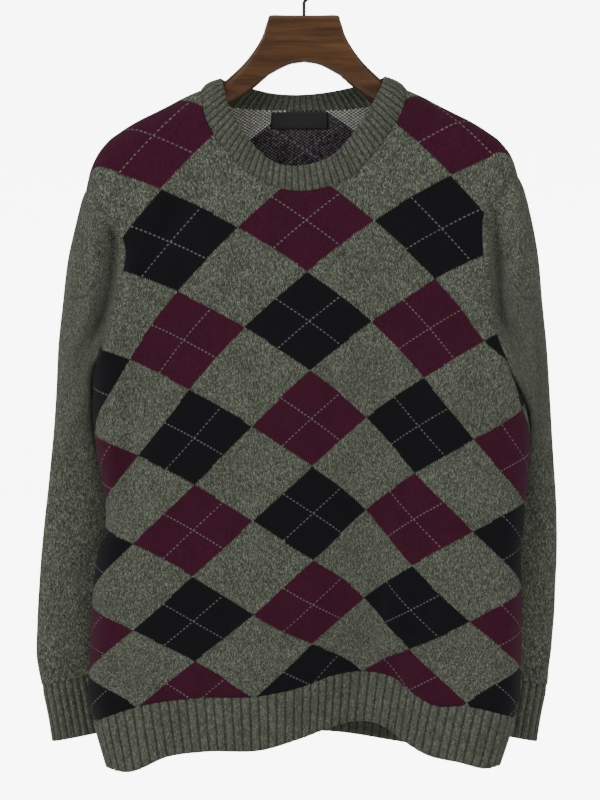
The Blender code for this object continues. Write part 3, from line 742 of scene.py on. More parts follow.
@dataclass(frozen=True)
class Knit:
    """Plain knitting: columns of V-shaped stitches on the cloth's own chart.

    Wool spun from mixed fibres is matt, softly fuzzy, and never glossy: a high
    roughness, low reflection and a little sheen.
    """

    wale: float = 1.95 * MM
    course: float = 1.42 * MM
    slant: float = 0.9
    bump: float = 0.55 * MM
    roughness: float = 0.88
    sheen: float = 0.07
    sheen_roughness: float = 0.45

    def stitches(self, paint: Painter) -> Stitches:
        """Number the stitches and give each its relief.

        A stitch is a V: its two legs rise away from the middle of its wale, so
        the course is shifted by the distance from that middle. Each leg is a
        sine across and a sine along.
        """
        chart = paint.cloth_axes()
        across = paint.calc("DIVIDE", chart, self.wale)
        place = paint.calc("FRACT", across)
        leg = paint.calc("MULTIPLY", paint.calc("ABSOLUTE", paint.calc("SUBTRACT", place, 0.5)),
                         2 * self.slant)
        down = paint.calc("ADD", paint.calc("DIVIDE", chart.outputs[1], -self.course), leg)
        bell = paint.calc("SINE", paint.calc("MULTIPLY", paint.calc("FRACT", down), math.pi))
        legs = paint.calc("ABSOLUTE",
                          paint.calc("SINE", paint.calc("MULTIPLY", place, 2 * math.pi)))
        relief = paint.calc("ADD", paint.calc("MULTIPLY", bell, 0.55),
                            paint.calc("MULTIPLY", legs, 0.45))
        wale, course = paint.calc("FLOOR", across), paint.calc("FLOOR", down)
        half = paint.calc("FLOOR", paint.calc("MULTIPLY", across, 2.0))
        cell = paint.add("CombineXYZ", half, course)
        random = paint.add("TexWhiteNoise", cell, noise_dimensions="2D")
        return Stitches(wale, course, relief, random)

    def close(self, paint: Painter, colour: Any, relief: Any) -> bpy.types.Material:
        """Give the colour its stitch shading, fibre and shader."""
        chart = paint.add("UVMap", uv_map=CLOTH_UV)
        fibre = paint.named("TexNoise", {"Vector": chart, "Scale": 1900.0, "Detail": 2.0})
        soft = paint.named("TexNoise", {"Vector": chart, "Scale": 24.0, "Detail": 3.0})
        shade = paint.calc("MULTIPLY", paint.band(relief, 0.1, 0.9, 0.72, 1.08),
                           paint.band(fibre, 0.3, 0.7, 0.86, 1.14))
        shade = paint.calc("MULTIPLY", shade, paint.band(soft, 0.3, 0.7, 0.93, 1.07))
        colour = paint.shaded(colour, shade)
        height = paint.calc("ADD", relief, paint.calc("MULTIPLY", fibre, 0.6))
        normal = paint.named("Bump", {"Strength": 0.8, "Distance": self.bump, "Height": height})
        return paint.finish(Base_Color=colour, Roughness=self.roughness, Normal=normal,
                            Sheen_Weight=self.sheen, Sheen_Roughness=self.sheen_roughness,
                            Specular_IOR_Level=0.2)


@dataclass(frozen=True)
class MarlYarn(Knit):
    """Green-grey yarn spun with pale and dark fibres, so single stitches fleck."""

    base: str = "#5D6154"
    light: str = "#848A7B"
    dark: str = "#3C3E36"
    light_share: float = 0.26
    dark_share: float = 0.34
    furrow: float = 0.46
    rib_calm: float = 0.4

    def colour(self, paint: Painter, random: Any) -> bpy.types.Node:
        """Flecked colour: the random value picks dark, plain or pale stitches."""
        dark = paint.band(random, self.dark_share, self.dark_share * 0.35)
        light = paint.band(random, 1 - self.light_share, 1 - self.light_share * 0.3)
        plain = paint.mix(dark, linear(self.base), linear(self.dark))
        return paint.mix(light, plain, linear(self.light))

    def material(self, name: str, rib_pitch: float = 0.0) -> bpy.types.Material:
        """Plain marl fabric, or ribs whose furrows lie in their own shade.

        A furrow is dark where the cosine over the pitch is low: little light
        gets between two ribs. Ribs are knitted tighter, so their flecks are calmer.
        """
        paint = Painter(name)
        stitch = self.stitches(paint)
        colour = self.colour(paint, stitch.random)
        if rib_pitch:
            chart = paint.cloth_axes()
            turn = paint.calc("MULTIPLY", chart, 2 * math.pi / (rib_pitch * MM))
            shade = paint.band(paint.calc("COSINE", turn), 1.0, 0.4, self.furrow, 1.0)
            calm = paint.mix(self.rib_calm, colour, linear(self.base))
            colour = paint.shaded(calm, shade)
        return self.close(paint, colour, stitch.relief)


@dataclass(frozen=True)
class ArgyleKnit(Knit):
    """Diamonds of plain dark yarn tip to tip on the marl, crossed by a dotted pale line.

    The pattern is counted in whole stitches, so its slanted edges step.
    """

    width: float = 134 * MM
    tall: float = 100 * MM
    wine: str = "#440D29"
    navy: str = "#0D0E13"
    dot: str = "#837A80"
    dot_half_width: float = 0.62 * MM
    dot_spacing: float = 4.6 * MM
    dot_share: float = 0.52
    purl: str = "#E6E7DE"
    inside_out: bool = False

    def crossing_lines(self, paint: Painter, aside: Any, below: Any) -> bpy.types.Node:
        """One on the dots of a diamond's two crossing lines, and nought elsewhere.

        Args:
            paint: The material under construction.
            aside: Distance across from the diamond's middle, in diamonds.
            below: Distance down from it, in diamonds.

        Returns:
            The node that holds the value.
        """
        span = math.hypot(self.width, self.tall)
        half_width = self.dot_half_width * span / (self.width * self.tall)
        lines = []
        for across, along in (("SUBTRACT", "ADD"), ("ADD", "SUBTRACT")):
            off = paint.calc("ABSOLUTE", paint.calc(across, aside, below))
            near = paint.calc("LESS_THAN", off, half_width)
            run = paint.calc("MULTIPLY", paint.calc(along, aside, below),
                             span / 2 / self.dot_spacing)
            dots = paint.calc("LESS_THAN", paint.calc("FRACT", run), self.dot_share)
            lines.append(paint.calc("MULTIPLY", near, dots))
        return paint.calc("MAXIMUM", *lines)

    def material(self, name: str, marl: MarlYarn) -> bpy.types.Material:
        """Patterned fabric.

        A stitch's place in diamonds is (across / width, down / tall). It is in
        a coloured diamond where the sum of its distances from the nearest whole
        numbers is under a half. The diamond is wine where the two whole numbers
        add up to an odd one. The crossing lines are where the two distances are
        equal. The reverse shows the carried yarn at every other stitch, as a
        bird's-eye mesh.
        """
        paint = Painter(name)
        stitch = self.stitches(paint)
        across = paint.calc("MULTIPLY", paint.calc("ADD", stitch.wale, 0.5),
                            self.wale / self.width)
        down = paint.calc("MULTIPLY", stitch.course, self.course / self.tall)
        column_number, row_number = paint.calc("ROUND", across), paint.calc("ROUND", down)
        aside = paint.calc("SUBTRACT", across, column_number)
        below = paint.calc("SUBTRACT", down, row_number)
        reach = paint.calc("ADD", paint.calc("ABSOLUTE", aside), paint.calc("ABSOLUTE", below))
        inside = paint.calc("LESS_THAN", reach, 0.5)
        odd = paint.calc("FLOORED_MODULO", paint.calc("ADD", column_number, row_number), 2.0)
        chart = paint.cloth_axes()
        aside = paint.calc("SUBTRACT", paint.calc("DIVIDE", chart, self.width), column_number)
        below = paint.calc("SUBTRACT", paint.calc("DIVIDE", chart.outputs[1], -self.tall),
                           row_number)
        lines = self.crossing_lines(paint, aside, below)
        vary = paint.band(stitch.random, 0.0, 1.0, 0.8, 1.25)
        yarn = paint.shaded(paint.mix(odd, linear(self.navy), linear(self.wine)), vary)
        if self.inside_out:
            count = paint.calc("ADD", stitch.wale, stitch.course)
            mesh = paint.calc("FLOORED_MODULO", count, 2.0)
            stray = paint.calc("MULTIPLY", mesh, paint.band(stitch.random, 0.0, 1.0, 0.2, 0.9))
            yarn = paint.mix(stray, yarn, linear(self.dot))
        worn = paint.calc("MULTIPLY", lines, paint.band(stitch.random, 0.0, 0.7, 0.45, 0.95))
        yarn = paint.mix(worn, yarn, linear(self.dot))
        ground = marl.colour(paint, stitch.random)
        if self.inside_out:
            pale = paint.calc("MULTIPLY", mesh, paint.band(stitch.random, 0.0, 1.0, 0.6, 1.0))
            ground = paint.mix(pale, linear(marl.dark), linear(self.purl))
        colour = paint.mix(inside, ground, yarn)
        return self.close(paint, colour, stitch.relief)


@dataclass(frozen=True)
class WovenTape:
    """Tightly woven dark polyester tape: fine threads, slightly smoother than wool."""

    ground: str = "#0A0A0C"
    gap: tuple = (0.004, 0.004, 0.005, 1)
    thread: float = 0.42 * MM

    def material(self, name: str) -> bpy.types.Material:
        """Two crossed sets of threads, drawn twice their real size so that they show."""
        paint = Painter(name)
        chart = paint.cloth_axes()
        threads = [paint.calc("ABSOLUTE", paint.calc("SINE", paint.calc(
            "MULTIPLY", chart.outputs[axis], math.pi / self.thread))) for axis in (0, 1)]
        relief = paint.calc("MAXIMUM", *threads)
        shade = paint.mix(paint.band(relief, 0.5, 1.0), self.gap, linear(self.ground))
        normal = paint.named("Bump", {"Strength": 0.5, "Distance": 0.1 * MM, "Height": relief})
        return paint.finish(Base_Color=shade, Roughness=0.6, Normal=normal, Sheen_Weight=0.1)


@dataclass(frozen=True)
class StainedWalnut:
    """Walnut stained dark and lacquered: streaks and pores along the arms, satin shine."""

    dark: str = "#432813"
    middle: str = "#59391D"
    pale: str = "#6C4726"

    def material(self, name: str) -> bpy.types.Material:
        """Streaks are noise stretched along X; pores are finer and darker."""
        paint = Painter(name)
        place = paint.add("TexCoord").outputs["Object"]
        streak = paint.named("Mapping", {"Vector": place, "Scale": (9, 170, 170)})
        bend = paint.named("TexNoise", {"Vector": streak, "Scale": 1.0, "Detail": 5.0,
                                        "Roughness": 0.6, "Distortion": 0.6})
        fine = paint.named("Mapping", {"Vector": place, "Scale": (60, 1500, 1500)})
        pores = paint.named("TexNoise", {"Vector": fine, "Scale": 1.0, "Detail": 2.0})
        tone = paint.mix(paint.band(bend, 0.3, 0.55), linear(self.dark), linear(self.middle))
        tone = paint.mix(paint.band(bend, 0.5, 0.75), tone, linear(self.pale))
        pore = paint.band(pores, 0.6, 0.74, 0.0, 0.7)
        tone = paint.mix(pore, tone, linear(self.dark))
        height = paint.calc("SUBTRACT", bend, pore)
        normal = paint.named("Bump", {"Strength": 0.25, "Distance": 0.2 * MM, "Height": height})
        return paint.finish(Base_Color=tone, Roughness=paint.band(bend, 0.2, 0.8, 0.34, 0.5),
                            Normal=normal, Coat_Weight=0.25, Coat_Roughness=0.25,
                            Specular_IOR_Level=0.35)


@dataclass(frozen=True)
class BlackedWire:
    """Steel wire dipped in black lacquer: a smooth dark film with a faint ripple."""

    film: str = "#1B1C1E"
    worn: str = "#2A2B2D"

    def material(self, name: str) -> bpy.types.Material:
        """A faint ripple in the film and patches of lower gloss where it is handled."""
        paint = Painter(name)
        place = paint.add("TexCoord").outputs["Object"]
        ripple = paint.named("TexNoise", {"Vector": place, "Scale": 700.0, "Detail": 2.0})
        patch = paint.named("TexNoise", {"Vector": place, "Scale": 90.0, "Detail": 3.0})
        normal = paint.named("Bump", {"Strength": 0.15, "Distance": 0.1 * MM, "Height": ripple})
        film = paint.mix(paint.band(patch, 0.35, 0.65), linear(self.film), linear(self.worn))
        return paint.finish(Base_Color=film, Roughness=paint.band(patch, 0.3, 0.7, 0.26, 0.42),
                            Normal=normal, Metallic=0.0)


@dataclass(frozen=True)
class PaperWhite:
    """Seamless white studio paper, matt; its wall glows with painted light to a clean white."""

    dull: str = "#F7F7F7"
    bright: str = "#FCFCFC"
    glow: float = 7.0
    middle_height: float = -0.4
    fall_aside: tuple = (2.6, 0.9)
    fall_above: tuple = (2.6, 1.0)

    def material(self, name: str, glowing: bool) -> bpy.types.Material:
        """Matt white with a slight mottle of its own.

        The upright part glows with painted light, brightest where it backs the
        sweater: a smooth fall over the distance to each side, times one up and down.
        """
        paint = Painter(name)
        place = paint.add("TexCoord").outputs["Object"]
        mottle = paint.named("TexNoise", {"Vector": place, "Scale": 3.0, "Detail": 2.0})
        tone = paint.mix(mottle, linear(self.dull), linear(self.bright))
        if not glowing:
            return paint.finish(Base_Color=tone, Roughness=0.9)
        axes = paint.add("SeparateXYZ", place)
        aside = paint.calc("ABSOLUTE", axes)
        above = paint.calc("ABSOLUTE", paint.calc("ADD", axes.outputs[2], -self.middle_height))
        fall = paint.calc("MULTIPLY", paint.band(aside, *self.fall_aside),
                          paint.band(above, *self.fall_above))
        # Painted light: the upright paper glows like a lamp, brightest behind the sweater.
        return paint.finish(Base_Color=tone, Roughness=0.9, Emission_Color=(1, 1, 1, 1),
                            Emission_Strength=paint.calc("MULTIPLY", fall, self.glow))


# ------------------------------------------------------------ how fine the meshes are

@dataclass(frozen=True)
class Counts:
    """Rows and columns of the cloth; each armhole row count is a multiple of ten."""

    shoulder: int = 42
    neck: int = 112
    armhole: int = 80
    side: int = 96
    ring_steps: int = 13
    rib_points: int = 8
    band_rows: int = 12

    @classmethod
    def chosen(cls) -> "Counts":
        """The counts, the same for every picture."""
        return cls()


# ------------------------------------------------------------ the cut of the sweater

@dataclass(frozen=True)
class Outlines:
    """Seams and free edges, as they are seen from the front."""

    armhole_left: tuple = (
        Spot(-221, -238), Spot(-200, -261), Spot(-184, -280), Spot(-178, -298),
        Spot(-181, -325), Spot(-186, -350), Spot(-192, -374), Spot(-203, -396),
        Spot(-210, -428),
    )
    armhole_right: tuple = (
        Spot(217, -224), Spot(198, -243), Spot(180, -262), Spot(178, -285), Spot(180, -315),
        Spot(185, -350), Spot(192, -382), Spot(205, -413), Spot(221, -456),
    )
    neck_seam_front: tuple = (
        Spot(-104, -137), Spot(-97, -168), Spot(-77, -199), Spot(-54, -222), Spot(-32, -234),
        Spot(0, -239), Spot(22, -235), Spot(47, -225), Spot(65, -206), Spot(84, -182),
        Spot(97, -160), Spot(104, -137),
    )
    neck_seam_back: tuple = (
        Spot(-104, -137), Spot(-90, -148), Spot(-72, -153), Spot(-48, -155.5), Spot(0, -156),
        Spot(56, -154), Spot(76, -150), Spot(92, -145), Spot(104, -137),
    )
    neck_edge_front: tuple = (
        Spot(-83, -126), Spot(-76, -155), Spot(-62, -179), Spot(-48, -197), Spot(-34, -209),
        Spot(-20, -214.5), Spot(-6, -215), Spot(8, -213), Spot(29, -204), Spot(45, -188),
        Spot(57, -171.5), Spot(71, -149), Spot(79, -132), Spot(81, -124),
    )
    neck_edge_back: tuple = (
        Spot(-83, -126), Spot(-70, -130), Spot(-53, -134), Spot(-34, -138.5), Spot(-6, -140.4),
        Spot(22, -138), Spot(50, -132.5), Spot(68, -128), Spot(81, -124),
    )
    hem_seam_front: tuple = (
        Spot(-212, -769), Spot(-164, -753), Spot(-107, -745), Spot(-45, -743), Spot(-6, -735),
        Spot(29, -724), Spot(59, -720), Spot(86, -725), Spot(113, -744), Spot(128, -752),
        Spot(161, -753), Spot(212, -765),
    )
    hem_seam_back: tuple = (
        Spot(-212, -769), Spot(-120, -750), Spot(-40, -737), Spot(30, -735), Spot(96, -745),
        Spot(150, -753), Spot(212, -765),
    )
    hem_edge_front: tuple = (
        Spot(-199, -815), Spot(-174, -817), Spot(-136, -802), Spot(-98, -797), Spot(-40, -795),
        Spot(-6, -785), Spot(25, -775), Spot(52, -769), Spot(73, -771), Spot(98, -787),
        Spot(121, -800), Spot(155, -808), Spot(182, -814), Spot(196, -813),
    )
    hem_edge_back: tuple = (
        Spot(-199, -815), Spot(-120, -798), Spot(-60, -788), Spot(26, -783), Spot(96, -793),
        Spot(150, -802), Spot(196, -813),
    )

    def line(self, name: str, side: Enum) -> Array:
        """Places of one outline, as rows of x and height."""
        return np.array(getattr(self, f"{name}_{side.name.lower()}"), float)


class Panel(NamedTuple):
    """A body panel's grids: cloth places, seen places and outward normals."""

    cloth: Array
    points: Array
    normals: Array


@dataclass(frozen=True)
class PanelCutter:
    """Cuts front and back: four edges, and rows and columns blended between them."""

    body: HungBody
    outlines: Outlines
    counts: Counts
    row_crowding: float = 0.62
    neck_crowding: float = 0.75
    column_crowding: float = 0.35
    armhole_part: float = 0.35
    armhole_spread: float = 0.17
    top_fade: int = 5
    seam: float = 0.15

    def outline(self, spots: Array, face: Face, shares: Array, start: Array | None = None,
                end: Array | None = None) -> Array:
        """Cloth places along an outline, at shares of its true length."""
        cloth = np.stack(self.body.to_cloth(spots[:, 0], spots[:, 1], face), axis=1)
        if start is not None:
            cloth[0] = start
        if end is not None:
            cloth[-1] = end
        cloth = along_points(cloth, np.linspace(0, 1, 400))
        lengths = path_lengths(self.body.point(cloth[:, 0], cloth[:, 1], face))
        places = shares * lengths[-1]
        return np.stack([np.interp(places, lengths, cloth[:, axis]) for axis in (0, 1)], axis=1)

    def top(self, face: Face) -> Array:
        """Shoulder seam, neck seam, shoulder seam."""
        body, count = self.body, self.counts.shoulder
        share = spread_fractions(2 * count, 0.3)[:count + 1] * 2
        left_x = -body.tip_left + share * (body.tip_left - body.neck_half_width)
        right_x = body.tip_right - share[::-1] * (body.tip_right - body.neck_half_width)
        left = np.stack(body.to_cloth(left_x, body.ridge_height(left_x), face), axis=1)
        right = np.stack(body.to_cloth(right_x, body.ridge_height(right_x), face), axis=1)
        neck = self.outline(self.outlines.line("neck_seam", face), face,
                            spread_fractions(self.counts.neck, self.neck_crowding),
                            left[-1], right[0])
        return np.concatenate([left, neck[1:-1], right])

    def side(self, face: Face, hand: Hand) -> Array:
        """Armhole down to the underarm, then the side seam down to the rib."""
        body = self.body
        spots = self.outlines.line("armhole", hand)
        low = spots[-1, 1]
        armhole = self.outline(spots, face,
                               spread_fractions(self.counts.armhole, self.row_crowding),
                               end=np.array([body.side_edge(low, face, hand), low]))
        tip = spots[0, 0]
        armhole[0] = tip, (body.ridge_height(tip)
                           + (math.pi / 2 - 1) * body.shoulder_reach(tip))
        end = self.outlines.line("hem_seam", face)[0 if hand is Hand.LEFT else -1, 1]
        heights = np.linspace(low, end, self.counts.side + 1)[1:]
        seam = np.stack([body.side_edge(heights, face, hand), heights], axis=1)
        return np.concatenate([armhole, seam])

    def bottom(self, face: Face, across: Array) -> Array:
        """Rib seam, from side to side."""
        spots = self.outlines.line("hem_seam", face)
        left = self.body.side_edge(spots[0, 1], face, Hand.LEFT)
        right = self.body.side_edge(spots[-1, 1], face, Hand.RIGHT)
        cloth_x = left + across * (right - left)
        return np.stack([cloth_x, hermite(spots[:, 0], spots[:, 1], cloth_x)], axis=1)

    def cut(self, face: Face) -> Panel:
        """Blend the panel between its edges.

        Rows run from the level top line down to the rib seam, the top line's
        own shape fades with the fifth power of what is left below, and each
        side edge fades in over a share of the columns.
        """
        top = self.top(face)
        left, right = (self.side(face, hand) for hand in Hand)
        across = spread_fractions(len(top) - 1, self.column_crowding)
        armhole = spread_fractions(self.counts.armhole, self.row_crowding) * self.armhole_part
        below = np.linspace(self.armhole_part, 1, self.counts.side + 1)[1:]
        down = np.concatenate([armhole, below])[:, None, None]
        level = top[0] + across[:, None] * (top[-1] - top[0])
        grid = ((1 - down) * level + down * self.bottom(face, across)
                + (1 - down)**self.top_fade * (top - level))
        by_left = 1 - smoothstep(0, self.armhole_spread, across)[None, :, None]
        by_right = smoothstep(1 - self.armhole_spread, 1, across)[None, :, None]
        grid = (grid + by_left * (left[:, None] - grid[:, :1])
                + by_right * (right[:, None] - grid[:, -1:]))
        grid[0, :self.counts.shoulder + 1, 1] -= self.seam
        grid[0, -self.counts.shoulder - 1:, 1] -= self.seam
        grid[self.counts.armhole:, 0, 0] += self.seam
        grid[self.counts.armhole:, -1, 0] -= self.seam
        return Panel(grid, *self.body.surface(grid[..., 0], grid[..., 1], face))


# ------------------------------------------------------------ creases, listed one by one

@dataclass(frozen=True)
class Creases:
    """Soft folds of heavy knitting: long, low and uneven, tighter where it is pulled."""

    front: tuple = (
        Crease(-150, -300, 62, 70, 14, -4.6, 6, 0.7),
        Crease(-180, -352, 70, 48, 9, 3.2, 4, 0.8),
        Crease(-120, -250, 48, 60, 14, -2.0, 5, 0.8),
        Crease(-196, -455, 88, 60, 15, 3.0, -4, 0.8),
        Crease(-150, -560, 80, 90, 26, 2.6, 8, 0.9),
        Crease(-60, -640, 96, 90, 34, 2.4, -8, 1.2),
        Crease(-20, -420, 84, 120, 30, 1.6, 10, 1.0),
        Crease(40, -330, 24, 60, 18, -1.6, 6, 0.8),
        Crease(-60, -300, -22, 55, 16, -1.8, 6, 0.9),
        Crease(150, -290, -58, 75, 13, -4.4, -7, 0.7),
        Crease(184, -346, -72, 46, 9, 2.8, -4, 0.8),
        Crease(120, -245, -44, 60, 14, -2.0, -6, 0.8),
        Crease(186, -440, -64, 60, 14, -3.4, -6, 0.8),
        Crease(170, -520, -80, 80, 22, 2.8, 8, 0.8),
        Crease(140, -620, 78, 80, 18, 3.6, -8, 0.8),
        Crease(106, -690, 62, 60, 13, -3.6, -6, 0.7),
        Crease(84, -660, 80, 75, 15, 3.4, 8, 0.8),
        Crease(20, -700, 100, 60, 18, -2.6, 5, 0.9),
        Crease(-90, -705, 70, 55, 16, -2.2, 5, 0.8),
        Crease(-160, -700, 100, 50, 15, 2.4, 4, 0.8),
        Crease(60, -520, 96, 90, 30, -1.8, 8, 1.1),
        Crease(226, -478, 90, 46, 16, 2.6, 0, 1.0),
        Crease(-212, -448, 90, 30, 14, 4.2, 0, 1.0),
    )
    back: tuple = (
        Crease(226, -478, 90, 46, 16, 2.6, 0, 1.0),
        Crease(-212, -448, 90, 30, 14, 4.2, 0, 1.0),
        Crease(-140, -310, 60, 80, 17, -3.4, 6, 0.7),
        Crease(138, -300, -56, 80, 17, -3.2, -7, 0.7),
        Crease(-70, -250, 30, 70, 16, -2.2, 8, 0.8),
        Crease(76, -262, -34, 65, 16, -2.0, 6, 0.8),
        Crease(-20, -430, 88, 120, 28, 2.6, 10, 1.0),
        Crease(60, -520, 97, 110, 26, -2.8, 9, 0.9),
        Crease(-84, -560, 80, 100, 24, -3.0, 8, 0.9),
        Crease(-150, -640, 74, 80, 20, 3.2, 6, 0.8),
        Crease(146, -610, -76, 85, 20, 3.0, 7, 0.8),
        Crease(104, -690, 66, 60, 15, -3.2, 5, 0.7),
        Crease(10, -690, 98, 65, 18, 2.8, 6, 0.9),
        Crease(-60, -700, 106, 55, 15, -2.4, 5, 0.8),
        Crease(176, -450, -66, 60, 14, -2.8, 5, 0.8),
    )
    sleeve_front: tuple = (
        Crease(-194, -310, 84, 68, 9, -17.5, 3, 1.0),
        Crease(-208, -376, 67, 32, 9, -9.0, 0, 1.0),
        Crease(-212, -300, 86, 70, 8, 3.5, 3, 1.0),
        Crease(194, -310, -86, 68, 9, -17.0, -3, 1.0),
        Crease(208, -380, -65, 36, 9, -9.0, 0, 1.0),
        Crease(212, -296, -88, 66, 8, 3.2, -3, 1.0),
        Crease(-216, -446, 90, 20, 14, 3.0, 0, 1.0),
        Crease(-226, -330, 78, 60, 13, -2.6, 5, 0.8),
        Crease(-216, -430, 70, 70, 12, 2.4, 6, 0.8),
        Crease(-236, -520, 84, 90, 14, -2.4, 8, 0.8),
        Crease(-200, -590, 52, 45, 10, -2.4, 4, 0.8),
        Crease(-232, -640, 104, 60, 12, 2.2, 5, 0.8),
        Crease(-196, -680, 38, 40, 9, -2.6, 4, 0.7),
        Crease(-226, -712, 12, 34, 8, -2.2, 3, 0.8),
        Crease(224, -320, -76, 60, 13, -2.6, 5, 0.8),
        Crease(230, -420, -82, 70, 12, 2.6, 6, 0.8),
        Crease(222, -540, -74, 90, 13, -2.6, 6, 0.8),
        Crease(200, -610, -50, 45, 10, -2.4, 4, 0.8),
        Crease(226, -650, -100, 60, 12, 2.2, 5, 0.8),
        Crease(190, -690, -30, 40, 9, -2.6, 4, 0.7),
        Crease(212, -716, -8, 34, 8, -2.0, 3, 0.8),
    )
    sleeve_back: tuple = (
        Crease(-216, -446, 90, 20, 14, 3.0, 0, 1.0),
        Crease(-222, -350, 74, 65, 13, -2.6, 5, 0.8),
        Crease(-240, -470, 86, 90, 14, 2.4, 7, 0.8),
        Crease(-214, -560, 62, 60, 11, -2.8, 5, 0.8),
        Crease(-226, -660, 30, 45, 9, -2.4, 4, 0.8),
        Crease(-206, -700, 16, 36, 8, -2.2, 3, 0.8),
        Crease(224, -360, -72, 65, 13, -2.6, 5, 0.8),
        Crease(236, -480, -88, 90, 14, 2.4, 7, 0.8),
        Crease(208, -570, -60, 60, 11, -2.8, 5, 0.8),
        Crease(214, -664, -28, 45, 9, -2.4, 4, 0.8),
        Crease(198, -704, -14, 36, 8, -2.2, 3, 0.8),
    )

    def body(self, face: Face, x: Array, height: Array) -> Array:
        """Relief of a panel."""
        return crease_relief(self.front if face is Face.FRONT else self.back, x, height)

    def sleeve(self, x: Array, height: Array, frontward: Array) -> Array:
        """Relief of a sleeve, whose two tables fade into each other round its edges."""
        share = smoothstep(-0.5, 0.5, frontward)
        return (share * crease_relief(self.sleeve_front, x, height)
                + (1 - share) * crease_relief(self.sleeve_back, x, height))


@dataclass(frozen=True)
class SeamDip:
    """Cloth drawn in where it is linked to its neighbour."""

    depth: float = 1.3
    width: float = 5.0
    armhole_depth: float = 3.8
    armhole_width: float = 10.0

    def armholes(self, points: Array, rows: int) -> Array:
        """Valley along both armholes, which ends at the underarms.

        Args:
            points: Grid of a panel's places.
            rows: Rows from the shoulder to the underarm.

        Returns:
            How far each place sinks.
        """
        start = path_lengths(points, 1)
        near = np.minimum(start, start[:, -1:] - start)
        row = np.arange(len(points))[:, None] / rows
        share = smoothstep(-0.25, 0.25, row) * (1 - smoothstep(0.86, 1.0, row))
        return (self.armhole_depth * share * np.exp(-(near / self.armhole_width)**2))

    def from_edges(self, points: Array, rows: tuple, columns: tuple) -> Array:
        """Dip near chosen edges of a grid: a bell over the distance along the grid.

        Args:
            points: Grid of places.
            rows: Whether the first and the last row are linked.
            columns: Whether the first and the last column are linked.

        Returns:
            How far each place sinks.
        """
        dip = np.zeros(points.shape[:2])
        for axis, linked in ((0, rows), (1, columns)):
            start = path_lengths(points, axis)
            total = np.take(start, [-1], axis=axis)
            for used, distance in zip(linked, (start, total - start)):
                if used:
                    dip = np.maximum(dip, self.depth * np.exp(-(distance / self.width)**2))
        return dip


# ------------------------------------------------------------ the cloth pieces

